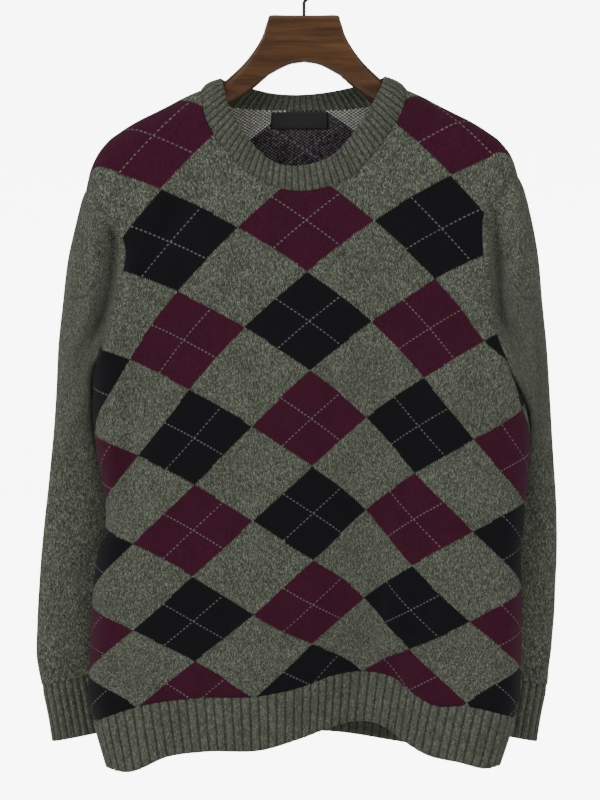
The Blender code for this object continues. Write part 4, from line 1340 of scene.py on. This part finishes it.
@dataclass(frozen=True)
class Knitwear:
    """Everything that is knitted, built from one pair of panels."""

    body: HungBody
    outlines: Outlines
    counts: Counts
    lattice: Lattice
    creases: Creases
    dip: SeamDip
    wall: float = 2.1
    rib_rise: float = 1.15
    hem_pitch: float = 8.0
    band_pitch: float = 6.3
    back_drop: float = 35.0
    hem_ribs: int = 54
    neck_ribs: int = 84
    neck_edge_depth: tuple = (21.0, 20.0)
    neck_edge_round: tuple = (22.0, 14.0)
    neck_fullness: float = 1.7
    hem_height: float = 50.0
    hem_gap: float = 0.15
    neck_height: float = 25.0
    hem_fade: tuple = (0.45, 0.09)
    neck_fade: tuple = (0.4, 0.15)
    label_x: tuple = (-33, 24)
    label_height: tuple = (-157.5, -174)
    label_gap: float = 0.5
    label_thick: float = 0.7

    def shaped(self, face: Face, cut: Panel) -> Array:
        """Panel's places with its creases and its drawn-in seams."""
        linked = np.maximum(self.dip.from_edges(cut.points, (True, True), (False, False)),
                            self.dip.armholes(cut.points, self.counts.armhole))
        relief = self.creases.body(face, cut.points[..., 0], cut.points[..., 2]) - linked
        return cut.points + cut.normals * relief[..., None]

    def panel(self, name: str, face: Face, cut: Panel) -> bpy.types.Object:
        """Front or back, with its hung pattern."""
        outer = self.shaped(face, cut)
        drop = self.back_drop if face is Face.BACK else 0.0
        across, down = self.lattice.flat_place(cut.cloth[..., 0], cut.cloth[..., 1] + drop)
        chart = np.stack([across, -down], axis=-1)
        return cloth_shell(name, Cloth(outer, outer - cut.normals * self.wall, chart), False)

    def edge_relief(self, face: Face, cut: Panel) -> Array:
        """Relief of a panel's bottom row, which its rib takes over."""
        return self.creases.body(face, cut.points[-1, :, 0], cut.points[-1, :, 2])

    def rib_wave(self, ribs: int, points: int) -> Array:
        """Raised height of each column: a flattened cosine for each rib."""
        phase = np.linspace(0, 2 * math.pi * ribs, ribs * points, endpoint=False)
        wave = -np.cos(phase)
        return self.rib_rise * (wave * (1.35 - 0.35 * wave**2) + 1) / 2

    def hem(self, name: str, face: Face, cut: Panel) -> bpy.types.Object:
        """Ribbed hem below a panel; its top follows the panel's own bottom edge."""
        count = self.hem_ribs * self.counts.rib_points
        rows = self.counts.band_rows
        relief = self.edge_relief(face, cut)[:, None]
        source = np.concatenate([cut.points[-1] + cut.normals[-1] * relief,
                                 cut.normals[-1], cut.cloth[-1]], axis=1)
        top = along_polyline(source, np.linspace(0, 1, count + 1))
        spots = self.outlines.line("hem_edge", face)
        left = self.body.side_edge(spots[0, 1], face, Hand.LEFT) + self.hem_gap
        right = self.body.side_edge(spots[-1, 1], face, Hand.RIGHT) - self.hem_gap
        cloth_x = left + (top[:, 6] - top[0, 6]) / (top[-1, 6] - top[0, 6]) * (right - left)
        height = hermite(spots[:, 0], spots[:, 1], cloth_x)
        low, low_normal = self.body.surface(cloth_x, height, face)
        fold = self.creases.body(face, low[:, 0], top[:, 2])[:, None]
        low = low + low_normal * fold
        down = np.linspace(0, 1, rows)[:, None, None]
        outer = top[:, :3] + down * (low - top[:, :3])
        normals = unit(top[:, 3:6] + down * (low_normal - top[:, 3:6]))
        wave = np.append(self.rib_wave(self.hem_ribs, self.counts.rib_points), 0.0)
        wave = wave * near_seam(down[..., 0], *self.hem_fade)
        wave = wave - self.dip.from_edges(outer, (True, False), (True, True))
        outer = outer + normals * wave[..., None]
        chart = self.band_chart(outer, self.hem_ribs * self.hem_pitch, self.hem_height)
        return cloth_shell(name, Cloth(outer, outer - normals * self.wall, chart), False)

    def band_chart(self, outer: Array, length: float, height: float,
                   closed: bool = False) -> Array:
        """Chart of a rib band: evenly along, and evenly down; a closed one has its start twice."""
        rows, columns = outer.shape[:2]
        along, down = np.meshgrid(np.linspace(0, length, columns + closed),
                                  np.linspace(0, -height, rows))
        return np.stack([along, down], axis=-1)

    def neck_edge(self, face: Face, share: Array) -> Array:
        """Free edge of the neck band on one side of the ridge.

        Seen from the front it follows its outline; its depth is the quarter
        round of the height it has dropped below the ridge.
        """
        index = 0 if face is Face.FRONT else 1
        fine = spread_fractions(200, 0.9)
        spots = self.outlines.line("neck_edge", face)
        seen = along_points(spots, fine)
        top = np.interp(fine, [0, 1], [spots[0, 1], spots[-1, 1]])
        drop = np.clip((top - seen[:, 1]) / self.neck_edge_round[index], 0, 1)
        depth = face.value * self.neck_edge_depth[index] * np.sqrt(1 - (1 - drop)**2)
        return along_polyline(np.stack([seen[:, 0], depth, seen[:, 1]], axis=1), share)

    def neck_band(self, name: str, front: Panel, back: Panel) -> bpy.types.Object:
        """Ribbed neck band: one closed ring, rounded from the seam to its free edge."""
        first, last = self.counts.shoulder, self.counts.shoulder + self.counts.neck
        halves = [np.concatenate([panel.points[0, first:last + 1],
                                  panel.normals[0, first:last + 1]], axis=1)
                  for panel in (front, back)]
        ahead, behind = halves[0], halves[1][::-1]
        lengths = [path_lengths(half[:, :3])[-1] for half in (ahead, behind)]
        count = self.neck_ribs * self.counts.rib_points
        ahead_ribs = round(self.neck_ribs * lengths[0] / sum(lengths))
        split = ahead_ribs * self.counts.rib_points
        share_ahead = np.arange(split) / split
        share_behind = np.arange(count - split) / (count - split)
        seam = np.concatenate([along_polyline(ahead, share_ahead),
                               along_polyline(behind, share_behind)])
        edge = np.concatenate([self.neck_edge(Face.FRONT, share_ahead),
                               self.neck_edge(Face.BACK, 1 - share_behind)])
        edge = np.stack([smooth_ring(edge[:, axis], 5) for axis in range(3)], axis=1)
        seam_point, seam_normal = seam[:, :3], seam[:, 3:6]
        reach = edge - seam_point
        run = np.roll(edge, -1, axis=0) - np.roll(edge, 1, axis=0)
        edge_normal = unit(np.cross(reach, run))
        edge_normal *= np.sign(np.sum(edge_normal * seam_normal, axis=1, keepdims=True))
        down = np.linspace(0, 1, self.counts.band_rows)[:, None, None]
        normals = unit(seam_normal + down * (edge_normal - seam_normal))
        full = self.neck_fullness * np.sin(math.pi * np.clip(down * 0.92 + 0.08, 0, 1))
        outer = seam_point + down * reach + normals * full
        wave = self.rib_wave(self.neck_ribs, self.counts.rib_points)
        wave = wave * near_seam(down[..., 0], *self.neck_fade)
        tuck = self.dip.depth * np.exp(-(down[..., 0] * self.neck_height / self.dip.width)**2)
        outer = outer + normals * (wave - tuck)[..., None]
        chart = self.band_chart(outer, self.neck_ribs * self.band_pitch, self.neck_height, True)
        return cloth_shell(name, Cloth(outer, outer - normals * self.wall, chart), True)

    def label(self, name: str) -> bpy.types.Object:
        """Bare woven label inside the back of the neck, stitched flat."""
        first, last = self.label_x
        x, height = np.meshgrid(np.linspace(first, last, 29), np.linspace(*self.label_height, 9))
        points, normals = self.body.surface(x, height, Face.BACK)
        near = points - normals * (self.wall + self.label_gap)
        bow = self.label_gap * np.sin(math.pi * (x - first) / (last - first))
        near = near - normals * bow[..., None]
        chart = np.stack([x, height], axis=-1)
        return cloth_shell(name, Cloth(near, near - normals * self.label_thick, chart), False)


def near_seam(down: Array, flatter: float, reach: float) -> Array:
    """Share of the ribs' height that is left at a share of the way down from the seam."""
    return 1 - flatter * np.exp(-(down / reach)**2)


def smooth_ring(values: Array, passes: int) -> Array:
    """Values round a ring, averaged with their neighbours."""
    for _ in range(passes):
        values = (np.roll(values, 1) + 2 * values + np.roll(values, -1)) / 4
    return values


# ------------------------------------------------------------ sleeves

@dataclass(frozen=True)
class Sleeves:
    """Both sleeves and cuffs: ovals down a hanging arm, grown out of the armhole."""

    knit: Knitwear
    rings: tuple = (
        SleeveRing(-242, 222, 217, 0, -428, 212, 222, 0, 25, 28),
        SleeveRing(-270, 229, 226, 0, -433, 215, 225, 0, 26, 27),
        SleeveRing(-310, 238, 235, 2, -440, 216.5, 227, 1, 27, 25),
        SleeveRing(-352, 243, 240, 5, -450, 216, 228, 5, 27, 23),
        SleeveRing(-396, 248, 245, 9, -467, 211, 227, 13, 25, 20),
        SleeveRing(-444, 250, 248, 13, -496, 203, 222, 25, 22, 16),
        SleeveRing(-496, 254, 251, 17, -540, 189, 206, 36, 19, 12),
        SleeveRing(-550, 260, 255, 21, -590, 173, 186, 44, 18, 8),
        SleeveRing(-606, 266, 256, 24, -640, 163, 172, 47, 18, 4),
        SleeveRing(-662, 270, 254, 27, -683, 163, 164, 46, 17, 2),
        SleeveRing(-708, 271, 250, 28, -709, 175, 162, 44, 16, 0),
        SleeveRing(-736, 266, 247, 29, -721, 187, 164, 42, 14.5, 0),
    )
    cuff_edge: SleeveRing = SleeveRing(-793, 255, 236, 29, -778, 177, 158, 41, 14, 0)
    coarse: int = 10
    blend_top: float = 4.5
    blend_underarm: float = 2.2
    crotch_part: tuple = (0.3, 0.95)
    ease_part: tuple = (-0.2, 0.6)
    ease_rings: tuple = (4, 7)
    ease_passes: int = 4
    thinned: float = 1.2
    turn_rings: float = 0.8
    flat_rings: float = 0.45
    ring_gap: float = 34.0
    cuff_ribs: int = 26
    cuff_height: float = 56.0
    cuff_waist: float = 0.9
    cuff_fade: tuple = (0.4, 0.08)

    def oval(self, fields: Array, hand: Hand, count: int) -> Array:
        """Points round one ring, from its outer edge over the front: an ellipse."""
        ring = SleeveRing(*fields)
        angles = np.linspace(0, 2 * math.pi, count, endpoint=False)[:, None]
        side = hand.name.lower()
        lower = ring.right_lower if hand is Hand.RIGHT else 0.0
        outer = np.array([hand.value * getattr(ring, "outer_" + side), ring.outer_back,
                          ring.outer_height])
        inner = np.array([hand.value * getattr(ring, "inner_" + side), ring.inner_back,
                          ring.inner_height - lower])
        depth = np.array([0.0, -ring.half_depth, 0.0])
        return ((outer + inner) / 2 + (outer - inner) / 2 * np.cos(angles)
                + depth * np.sin(angles))

    def near_underarm(self, part: tuple, count: int) -> Array:
        """One at the inner edge, nought over the outer side."""
        angles = np.linspace(0, 2 * math.pi, count, endpoint=False)[:, None]
        return smoothstep(*part, -np.cos(angles))

    def armhole(self, panels: tuple, hand: Hand) -> tuple[Array, Array, Array]:
        """Armhole edge of both panels, from the tip round the front and up the back.

        Returns:
            Its smooth places, its normals, and its places in the creased cloth.
        """
        side, rows = (0 if hand is Hand.LEFT else -1), self.knit.counts.armhole
        ahead, behind = (np.stack([panel.points[:rows + 1, side], panel.normals[:rows + 1, side],
                                   self.knit.shaped(face, panel)[:rows + 1, side]])
                         for face, panel in zip(Face, panels))
        loop = np.concatenate([ahead, behind[:, -2:0:-1]], axis=1)
        loop[:, 0] = (ahead[:, 0] + behind[:, 0]) / 2
        loop[:, rows] = (ahead[:, -1] + behind[:, -1]) / 2
        return loop[0], unit(loop[1]), loop[2]

    def grown(self, first: Array, hand: Hand, numbers: Array) -> Array:
        """Rings between the armhole and the cuff seam.

        Each is its oval plus what the armhole differs from the first oval by,
        fading over a few rings, and over fewer at the underarm.
        """
        count = len(first)
        table = hermite(np.arange(len(self.rings)), np.array(self.rings, float), numbers)
        ovals = np.stack([self.oval(fields, hand, count) for fields in table])
        offset = first - ovals[0]
        angles = np.linspace(0, 2 * math.pi, count, endpoint=False)[:, None]
        middle = (self.blend_top + self.blend_underarm) / 2
        reach = middle + (self.blend_top - self.blend_underarm) / 2 * np.cos(angles)
        return ovals + offset * (1 - smoothstep(0, reach, numbers[:, None, None]))

    def easing(self, first: Array, hand: Hand, numbers: Array) -> Array:
        """How far the tight rings below the underarm are eased.

        A coarse copy is averaged with its neighbours a few times, and the
        change is read smoothly at the fine places.
        """
        count = len(first)
        coarse = self.grown(first[::count // (2 * self.coarse)], hand,
                            np.arange(len(self.rings), dtype=float))
        early = 1 - smoothstep(*self.ease_rings, np.arange(len(coarse) - 2))[:, None, None]
        share = self.near_underarm(self.ease_part, 2 * self.coarse) * early
        eased = coarse
        for _ in range(self.ease_passes):
            middle = eased[1:-1]
            around = (np.roll(middle, 1, axis=1) + np.roll(middle, -1, axis=1)) / 2
            along = (eased[:-2] + eased[2:]) / 2
            change = share * ((around + along) / 2 - middle) / 2
            eased = np.concatenate([eased[:1], middle + change, eased[-1:]])
        shift = hermite(np.arange(len(coarse)), eased - coarse, numbers)
        wrapped = np.concatenate([shift[:, -2:], shift, shift[:, :3]], axis=1)
        places = np.arange(count) * 2 * self.coarse / count + 2
        return np.swapaxes(hermite(np.arange(wrapped.shape[1]), np.swapaxes(wrapped, 0, 1),
                                   places), 0, 1)

    def build(self, names: tuple, hand: Hand, panels: tuple
              ) -> tuple[bpy.types.Object, bpy.types.Object]:
        """One sleeve and its cuff."""
        seam, seam_normal, creased = self.armhole(panels, hand)
        steps = self.knit.counts.ring_steps
        numbers = np.linspace(0, len(self.rings) - 1, (len(self.rings) - 1) * steps + 1)
        outer = self.grown(seam, hand, numbers) + self.easing(seam, hand, numbers)
        centre = outer.mean(axis=1, keepdims=True)
        normals = grid_normals(outer, True, outer - centre)
        crotch = self.near_underarm(self.crotch_part, len(seam))
        start = unit(seam_normal + crotch * (normals[0] - seam_normal))
        share = 1 - smoothstep(0, self.turn_rings, numbers)[:, None, None]
        normals = unit(normals + share * (start - normals))
        relief = self.knit.creases.sleeve(outer[..., 0], outer[..., 2], -normals[..., 1])
        relief = relief * smoothstep(0, self.flat_rings, numbers)[:, None]
        tuck = np.exp(-(numbers * self.ring_gap / self.knit.dip.armhole_width)**2)[:, None, None]
        outer = outer + normals * relief[..., None] + tuck * (creased - seam)
        early = 1 - smoothstep(*self.ease_rings, numbers)[:, None, None]
        wall = self.knit.wall - self.thinned * self.near_underarm(self.ease_part,
                                                                  len(seam)) * early
        half = len(seam) // 2
        rolled_outer = np.roll(outer, -half, axis=1)
        shell = Cloth(rolled_outer, rolled_outer - np.roll(normals * wall, -half, axis=1),
                      self.sleeve_chart(rolled_outer))
        sleeve = cloth_shell(names[0], shell, True)
        return sleeve, self.cuff(names[1], hand, outer[-1], normals[-1])

    def sleeve_chart(self, outer: Array) -> Array:
        """Chart of a sleeve: round from its outer edge, and up from the cuff seam."""
        closed = np.concatenate([outer, outer[:, :1]], axis=1)
        around, down = path_lengths(closed, 1), path_lengths(closed)
        middle = outer.shape[1] // 2
        return np.stack([around - around[:, middle:middle + 1], down[-1:] - down], axis=-1)

    def cuff(self, name: str, hand: Hand, ring: Array, ring_normal: Array
             ) -> bpy.types.Object:
        """Ribbed cuff on the sleeve's own last ring, a little drawn in."""
        count = self.cuff_ribs * self.knit.counts.rib_points
        low = self.oval(np.array(self.cuff_edge, float), hand, len(ring))
        axis = unit(low.mean(axis=0) - ring.mean(axis=0))
        both = np.concatenate([ring, ring_normal], axis=1)
        share = np.arange(count) / count
        top = along_polyline(np.concatenate([both, both[:1]]), share)
        low = along_polyline(np.concatenate([low, low[:1]]), share)
        flat = unit(top[:, 3:6] - np.sum(top[:, 3:6] * axis, axis=1, keepdims=True) * axis)
        down = np.linspace(0, 1, self.knit.counts.band_rows)[:, None, None]
        outer = top[:, :3] + down * (low - top[:, :3])
        wave = self.knit.rib_wave(self.cuff_ribs, self.knit.counts.rib_points)
        waist = self.cuff_waist * np.sin(math.pi * down[..., 0])
        dip = self.knit.dip
        tuck = dip.depth * np.exp(-(down[..., 0] * self.cuff_height / dip.width)**2)
        outer = outer + flat * (wave * near_seam(down[..., 0], *self.cuff_fade)
                                - tuck - waist)[..., None]
        chart = self.knit.band_chart(outer, self.cuff_ribs * self.knit.band_pitch,
                                     self.cuff_height, True)
        return cloth_shell(name, Cloth(outer, outer - flat * self.knit.wall, chart), True)


# ------------------------------------------------------------ hanger and hook

@dataclass(frozen=True)
class Hanger:
    """Wooden hanger and its wire hook."""

    body: HungBody
    sections: tuple = (
        HangerSection(0, -62, -109, 7, 5), HangerSection(16, -62, -112, 7, 5),
        HangerSection(33.5, -62, -121, 7.2, 5), HangerSection(36.5, -67, -123, 7.3, 5),
        HangerSection(38.5, -73, -125, 7.4, 5), HangerSection(41, -81, -127, 7.6, 4.5),
        HangerSection(45.5, -90, -131, 8, 4), HangerSection(52, -100, -136, 8.5, 3.6),
        HangerSection(61, -111, -143, 8.8, 2.9), HangerSection(72, -121.5, -150.5, 9.2, 2.4),
    )
    arm_steps: tuple = (82, 95, 110, 126, 142, 158, 170, 179)
    end: float = 183.0
    arm_height: float = 31.0
    arm_half_depth: float = 13.0
    cloth_wall: float = 2.4
    clearance: float = 0.9
    block_top: float = -62.0
    wire: float = 1.7
    hook_radius: float = 21.0
    bore_depth: float = 30.0
    bore_gap: float = 0.3
    sides: int = 56
    arm_start: float = 72.0
    start_half_depth: float = 9.5
    thickening: float = 0.07
    arm_squareness: float = 2.1
    end_section: tuple = (9, 2.2)
    hook_turn: tuple = (-55, 210)
    shank_top: float = 12.0
    bend_pull: tuple = (13.0, 16.0)
    tip_rings: tuple = (0.25, 0.98, 5)
    tip_length: float = 0.6

    def arm(self, distance: float) -> HangerSection:
        """Cut across an arm: it keeps just under the cloth's shoulder."""
        steep = float(self.body.shoulder_reach(distance)) / self.body.shoulder_round
        top = (float(self.body.ridge_height(distance))
               - (self.cloth_wall + self.clearance) * steep)
        half = min(self.arm_half_depth,
                   self.start_half_depth + (distance - self.arm_start) * self.thickening)
        return HangerSection(distance, top, top - self.arm_height, half, self.arm_squareness)

    def ring(self, section: HangerSection, hand: Hand) -> Array:
        """Superellipse across the hanger: cosine and sine to the power two by squareness."""
        angles = np.linspace(0, 2 * math.pi, self.sides, endpoint=False)
        power = 2 / section.squareness
        cos, sin = np.cos(angles), np.sin(angles)
        across = np.sign(cos) * np.abs(cos)**power * section.half_depth
        middle, tall = (section.top + section.bottom) / 2, (section.top - section.bottom) / 2
        upright = middle + np.sign(sin) * np.abs(sin)**power * tall
        return np.stack([np.full(self.sides, hand.value * section.distance), across, upright],
                        axis=1)

    def wood(self, name: str) -> bpy.types.Object:
        """Body of the hanger, from end to end, with the bore of the hook."""
        half = list(self.sections) + [self.arm(step) for step in self.arm_steps]
        last = half[-1]
        middle = (last.top + last.bottom) / 2
        size, squareness = self.end_section
        half.append(HangerSection(self.end, middle + size, middle - size, size, squareness))
        table = np.array(half, float)
        fine = np.linspace(0, len(half) - 1, (len(half) - 1) * 6 + 1)
        table = hermite(np.arange(len(half)), table, fine)
        rings = [self.ring(HangerSection(*row), Hand.LEFT) for row in table[:0:-1]]
        rings += [self.ring(HangerSection(*row), Hand.RIGHT) for row in table]
        body = lofted(name, np.stack(rings))
        line = np.array([[0, 0, self.block_top - self.bore_depth],
                         [0, 0, self.block_top + self.bore_depth]], float)
        bore = tube("bore", line, np.array([[1.0, 0, 0]] * 2), np.array([[0, 1.0, 0]] * 2),
                    np.full(2, self.wire + self.bore_gap), 32)
        cut = body.modifiers.new("bore", "BOOLEAN")
        cut.operation, cut.solver, cut.object = "DIFFERENCE", "EXACT", bore
        solid = bpy.data.meshes.new_from_object(
            body.evaluated_get(bpy.context.evaluated_depsgraph_get()))
        body.modifiers.clear()
        body.data = solid
        bpy.data.objects.remove(bore)
        return body

    def hook(self, name: str) -> bpy.types.Object:
        """Bent wire: shank, small bend, most of a circle, rounded tip."""
        radius, middle = self.hook_radius + self.wire, -self.hook_radius
        bend = np.radians(np.linspace(*self.hook_turn, 90))
        circle = np.stack([radius * np.cos(bend), middle + radius * np.sin(bend)], axis=1)
        rise = unit(circle[1] - circle[0])
        shank = np.array([[0.0, self.block_top - self.bore_depth + 1],
                          [0.0, self.block_top - 1], [0.0, self.block_top + self.shank_top]])
        curve = cubic(np.linspace(0, 1, 24)[1:-1, None], shank[-1], circle[0],
                      np.array([0.0, self.bend_pull[0]]), rise * self.bend_pull[1])
        flat = np.concatenate([shank, curve, circle])
        line = np.stack([flat[:, 0], np.zeros(len(flat)), flat[:, 1]], axis=1)
        along = unit(np.gradient(line, axis=0))
        depth = np.tile([0.0, 1.0, 0.0], (len(line), 1))
        sizes = np.full(len(line), self.wire)
        ahead = np.linspace(*self.tip_rings)[:, None]
        tip = np.sqrt(1 - ahead[:, 0]**2) * self.wire
        line = np.concatenate([line, line[-1] + along[-1] * ahead * self.wire * self.tip_length])
        along = np.concatenate([along, np.tile(along[-1], (len(ahead), 1))])
        depth = np.concatenate([depth, depth[:len(ahead)]])
        return tube(name, line, np.cross(depth, along), depth, np.concatenate([sizes, tip]), 24)


# ------------------------------------------------------------ the studio

class Lamp(NamedTuple):
    """A large area light: its place and size in metres, and its power in watts."""

    name: str
    place: tuple
    size: tuple
    power: float


@dataclass(frozen=True)
class Studio:
    """White paper cove, large soft lights, and the camera of the photograph."""

    paper: PaperWhite
    floor_height: float = -1.4
    wall_depth: float = 4.4
    half_width: float = 3.5
    cove_radius: float = 1.2
    columns: int = 9
    front_end: float = -5.0
    wall_top: float = 4.0
    lamps: tuple = (
        Lamp("overhead", (0.0, -1.1, 1.9), (2.6, 1.6), 20),
        Lamp("window_left", (-2.3, -1.7, 0.5), (1.6, 2.2), 45),
        Lamp("window_right", (2.3, -1.9, 0.3), (1.6, 2.2), 27),
        Lamp("behind_camera", (0.3, -4.2, 0.4), (2.4, 2.0), 3),
    )
    aim: tuple = (0.0, 0.0, -0.45)
    room_light: float = 0.17
    camera_place: tuple = (-0.004, -3.0, -0.448)
    lens: float = 134.46

    def cove(self) -> bpy.types.Object:
        """Paper sweep: level floor, quarter round, upright wall."""
        turn = np.linspace(0, math.pi / 2, 24)
        centre = (self.wall_depth - self.cove_radius, self.floor_height + self.cove_radius)
        profile = np.concatenate([
            [[self.front_end, self.floor_height]],
            np.stack([centre[0] + self.cove_radius * np.sin(turn),
                      centre[1] - self.cove_radius * np.cos(turn)], axis=1),
            [[self.wall_depth, self.wall_top]]])
        x, index = np.meshgrid(np.linspace(-self.half_width, self.half_width, self.columns),
                               np.arange(len(profile)))
        points = np.stack([x, profile[index, 0], profile[index, 1]], axis=-1).reshape(-1, 3)
        faces, row, _ = quads(len(profile), self.columns, (False, False))
        sweep = make_mesh("paper_sweep", points / MM, faces, slots=(row > 0).astype(int))
        sweep.data.materials.append(self.paper.material("White paper, floor", False))
        sweep.data.materials.append(self.paper.material("White paper, glowing", True))
        return sweep

    def light(self, lamp: Lamp) -> None:
        """Area light that faces the sweater."""
        data = bpy.data.lights.new(lamp.name, "AREA")
        data.shape = "RECTANGLE"
        data.size, data.size_y = lamp.size
        data.energy = lamp.power
        item = placed(lamp.name, data)
        item.location = lamp.place
        view = Vector(self.aim) - Vector(lamp.place)
        item.rotation_euler = view.to_track_quat("-Z", "Y").to_euler()

    def camera(self) -> None:
        """Level view from three metres, so that a millimetre is a pixel at the cloth."""
        data = bpy.data.cameras.new("camera")
        data.lens, data.sensor_width = self.lens, 36.0
        data.clip_start, data.clip_end = 0.1, 30.0
        item = placed("camera", data)
        item.location = self.camera_place
        item.rotation_euler = (math.pi / 2, 0.0, 0.0)
        bpy.context.scene.camera = item

    def build(self) -> None:
        """Set the cove, the lights, the world and the camera."""
        self.cove()
        for lamp in self.lamps:
            self.light(lamp)
        world = bpy.data.worlds.new("white_room")
        world.use_nodes = True
        back = world.node_tree.nodes["Background"]
        back.inputs["Color"].default_value = (1, 1, 1, 1)
        back.inputs["Strength"].default_value = self.room_light
        bpy.context.scene.world = world
        self.camera()


# ------------------------------------------------------------ putting it together

class Cut(NamedTuple):
    """How one knitted piece was cut: flat width and length, and flat area."""

    piece: str
    width: float
    length: float
    area: float
    rests_on: tuple


@dataclass(frozen=True)
class Wardrobe:
    """Flat cuts of the knitted pieces, and what each hangs from."""

    cuts: tuple = (
        Cut("front_knit", 0.57, 0.69, 0.305, ("walnut_hanger",)),
        Cut("back_knit", 0.57, 0.69, 0.320, ("walnut_hanger",)),
        Cut("hem_band_front", 0.47, 0.05, 0.0235, ("front_knit",)),
        Cut("hem_band_back", 0.47, 0.05, 0.0235, ("back_knit",)),
        Cut("neck_band", 0.53, 0.026, 0.0137, ("front_knit", "back_knit")),
        Cut("sleeve_knit_left", 0.42, 0.44, 0.0850, ("front_knit", "back_knit")),
        Cut("sleeve_knit_right", 0.42, 0.44, 0.0850, ("front_knit", "back_knit")),
        Cut("cuff_band_left", 0.17, 0.06, 0.0100, ("sleeve_knit_left",)),
        Cut("cuff_band_right", 0.17, 0.06, 0.0100, ("sleeve_knit_right",)),
        Cut("woven_label", 0.057, 0.0165, 0.00094, ("back_knit",)),
    )


def surface_area(item: bpy.types.Object) -> float:
    """Area of a mesh, in square metres."""
    areas = np.empty(len(item.data.polygons))
    item.data.polygons.foreach_get("area", areas)
    return float(areas.sum())


def dress(item: bpy.types.Object, node: str, slot: str, *finishes: bpy.types.Material) -> None:
    """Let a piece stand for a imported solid: it rides the root and wears its finishes."""
    for finish in finishes:
        item.data.materials.append(finish)
    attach(item, "root")
    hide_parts(node)
    item.data.calc_loop_triangles()
    LOG.info("%s replaces %s: %d triangles, %.4f m2", item.name, node,
             len(item.data.loop_triangles), surface_area(item))


def main() -> None:
    """Build the sweater, its hanger and the studio."""
    logging.basicConfig(level=logging.INFO, format="%(message)s")
    body, outlines, counts = HungBody(), Outlines(), Counts.chosen()
    knit = Knitwear(body, outlines, counts, Lattice(), Creases(), SeamDip())
    cutter = PanelCutter(body, outlines, counts)
    panels = tuple(cutter.cut(face) for face in Face)
    marl, argyle = MarlYarn(), ArgyleKnit()
    outside = argyle.material("Argyle wool knit", marl)
    reverse = replace(argyle, inside_out=True).material("Argyle wool knit, reverse", marl)
    plain = marl.material("Marl wool knit")
    hem_rib = marl.material("Marl wool rib, hem", knit.hem_pitch)
    rib = marl.material("Marl wool rib, neck and cuffs", knit.band_pitch)

    def add(item: bpy.types.Object, node: str, slot: str, *finishes: bpy.types.Material) -> None:
        dress(item, node, slot, *finishes)

    for face, panel in zip(Face, panels):
        side = face.name.lower()
        add(knit.panel(f"{side}_knit", face, panel), side, "argyle_knit", outside, reverse)
        add(knit.hem(f"hem_band_{side}", face, panel), f"hem_rib_{side}", "rib_knit", hem_rib,
            hem_rib)
    add(knit.neck_band("neck_band", *panels), "collar", "rib_knit", rib, rib)
    for hand in Hand:
        side = hand.name.lower()
        sleeve, cuff = Sleeves(knit).build((f"sleeve_knit_{side}", f"cuff_band_{side}"), hand,
                                           panels)
        add(sleeve, f"sleeve_{side}", "marl_knit", plain, plain)
        add(cuff, f"cuff_{side}", "rib_knit", rib, rib)
    tape = WovenTape().material("Woven label tape")
    add(knit.label("woven_label"), "neck_label", "label_weave", tape, tape)
    hanger = Hanger(body)
    add(hanger.wood("walnut_hanger"), "hanger", "hanger_wood",
        StainedWalnut().material("Stained walnut"))
    add(hanger.hook("wire_hook"), "hanger_hook", "hook_metal",
        BlackedWire().material("Black lacquered wire"))
    Studio(PaperWhite()).build()


if __name__ == "__main__":
    main()
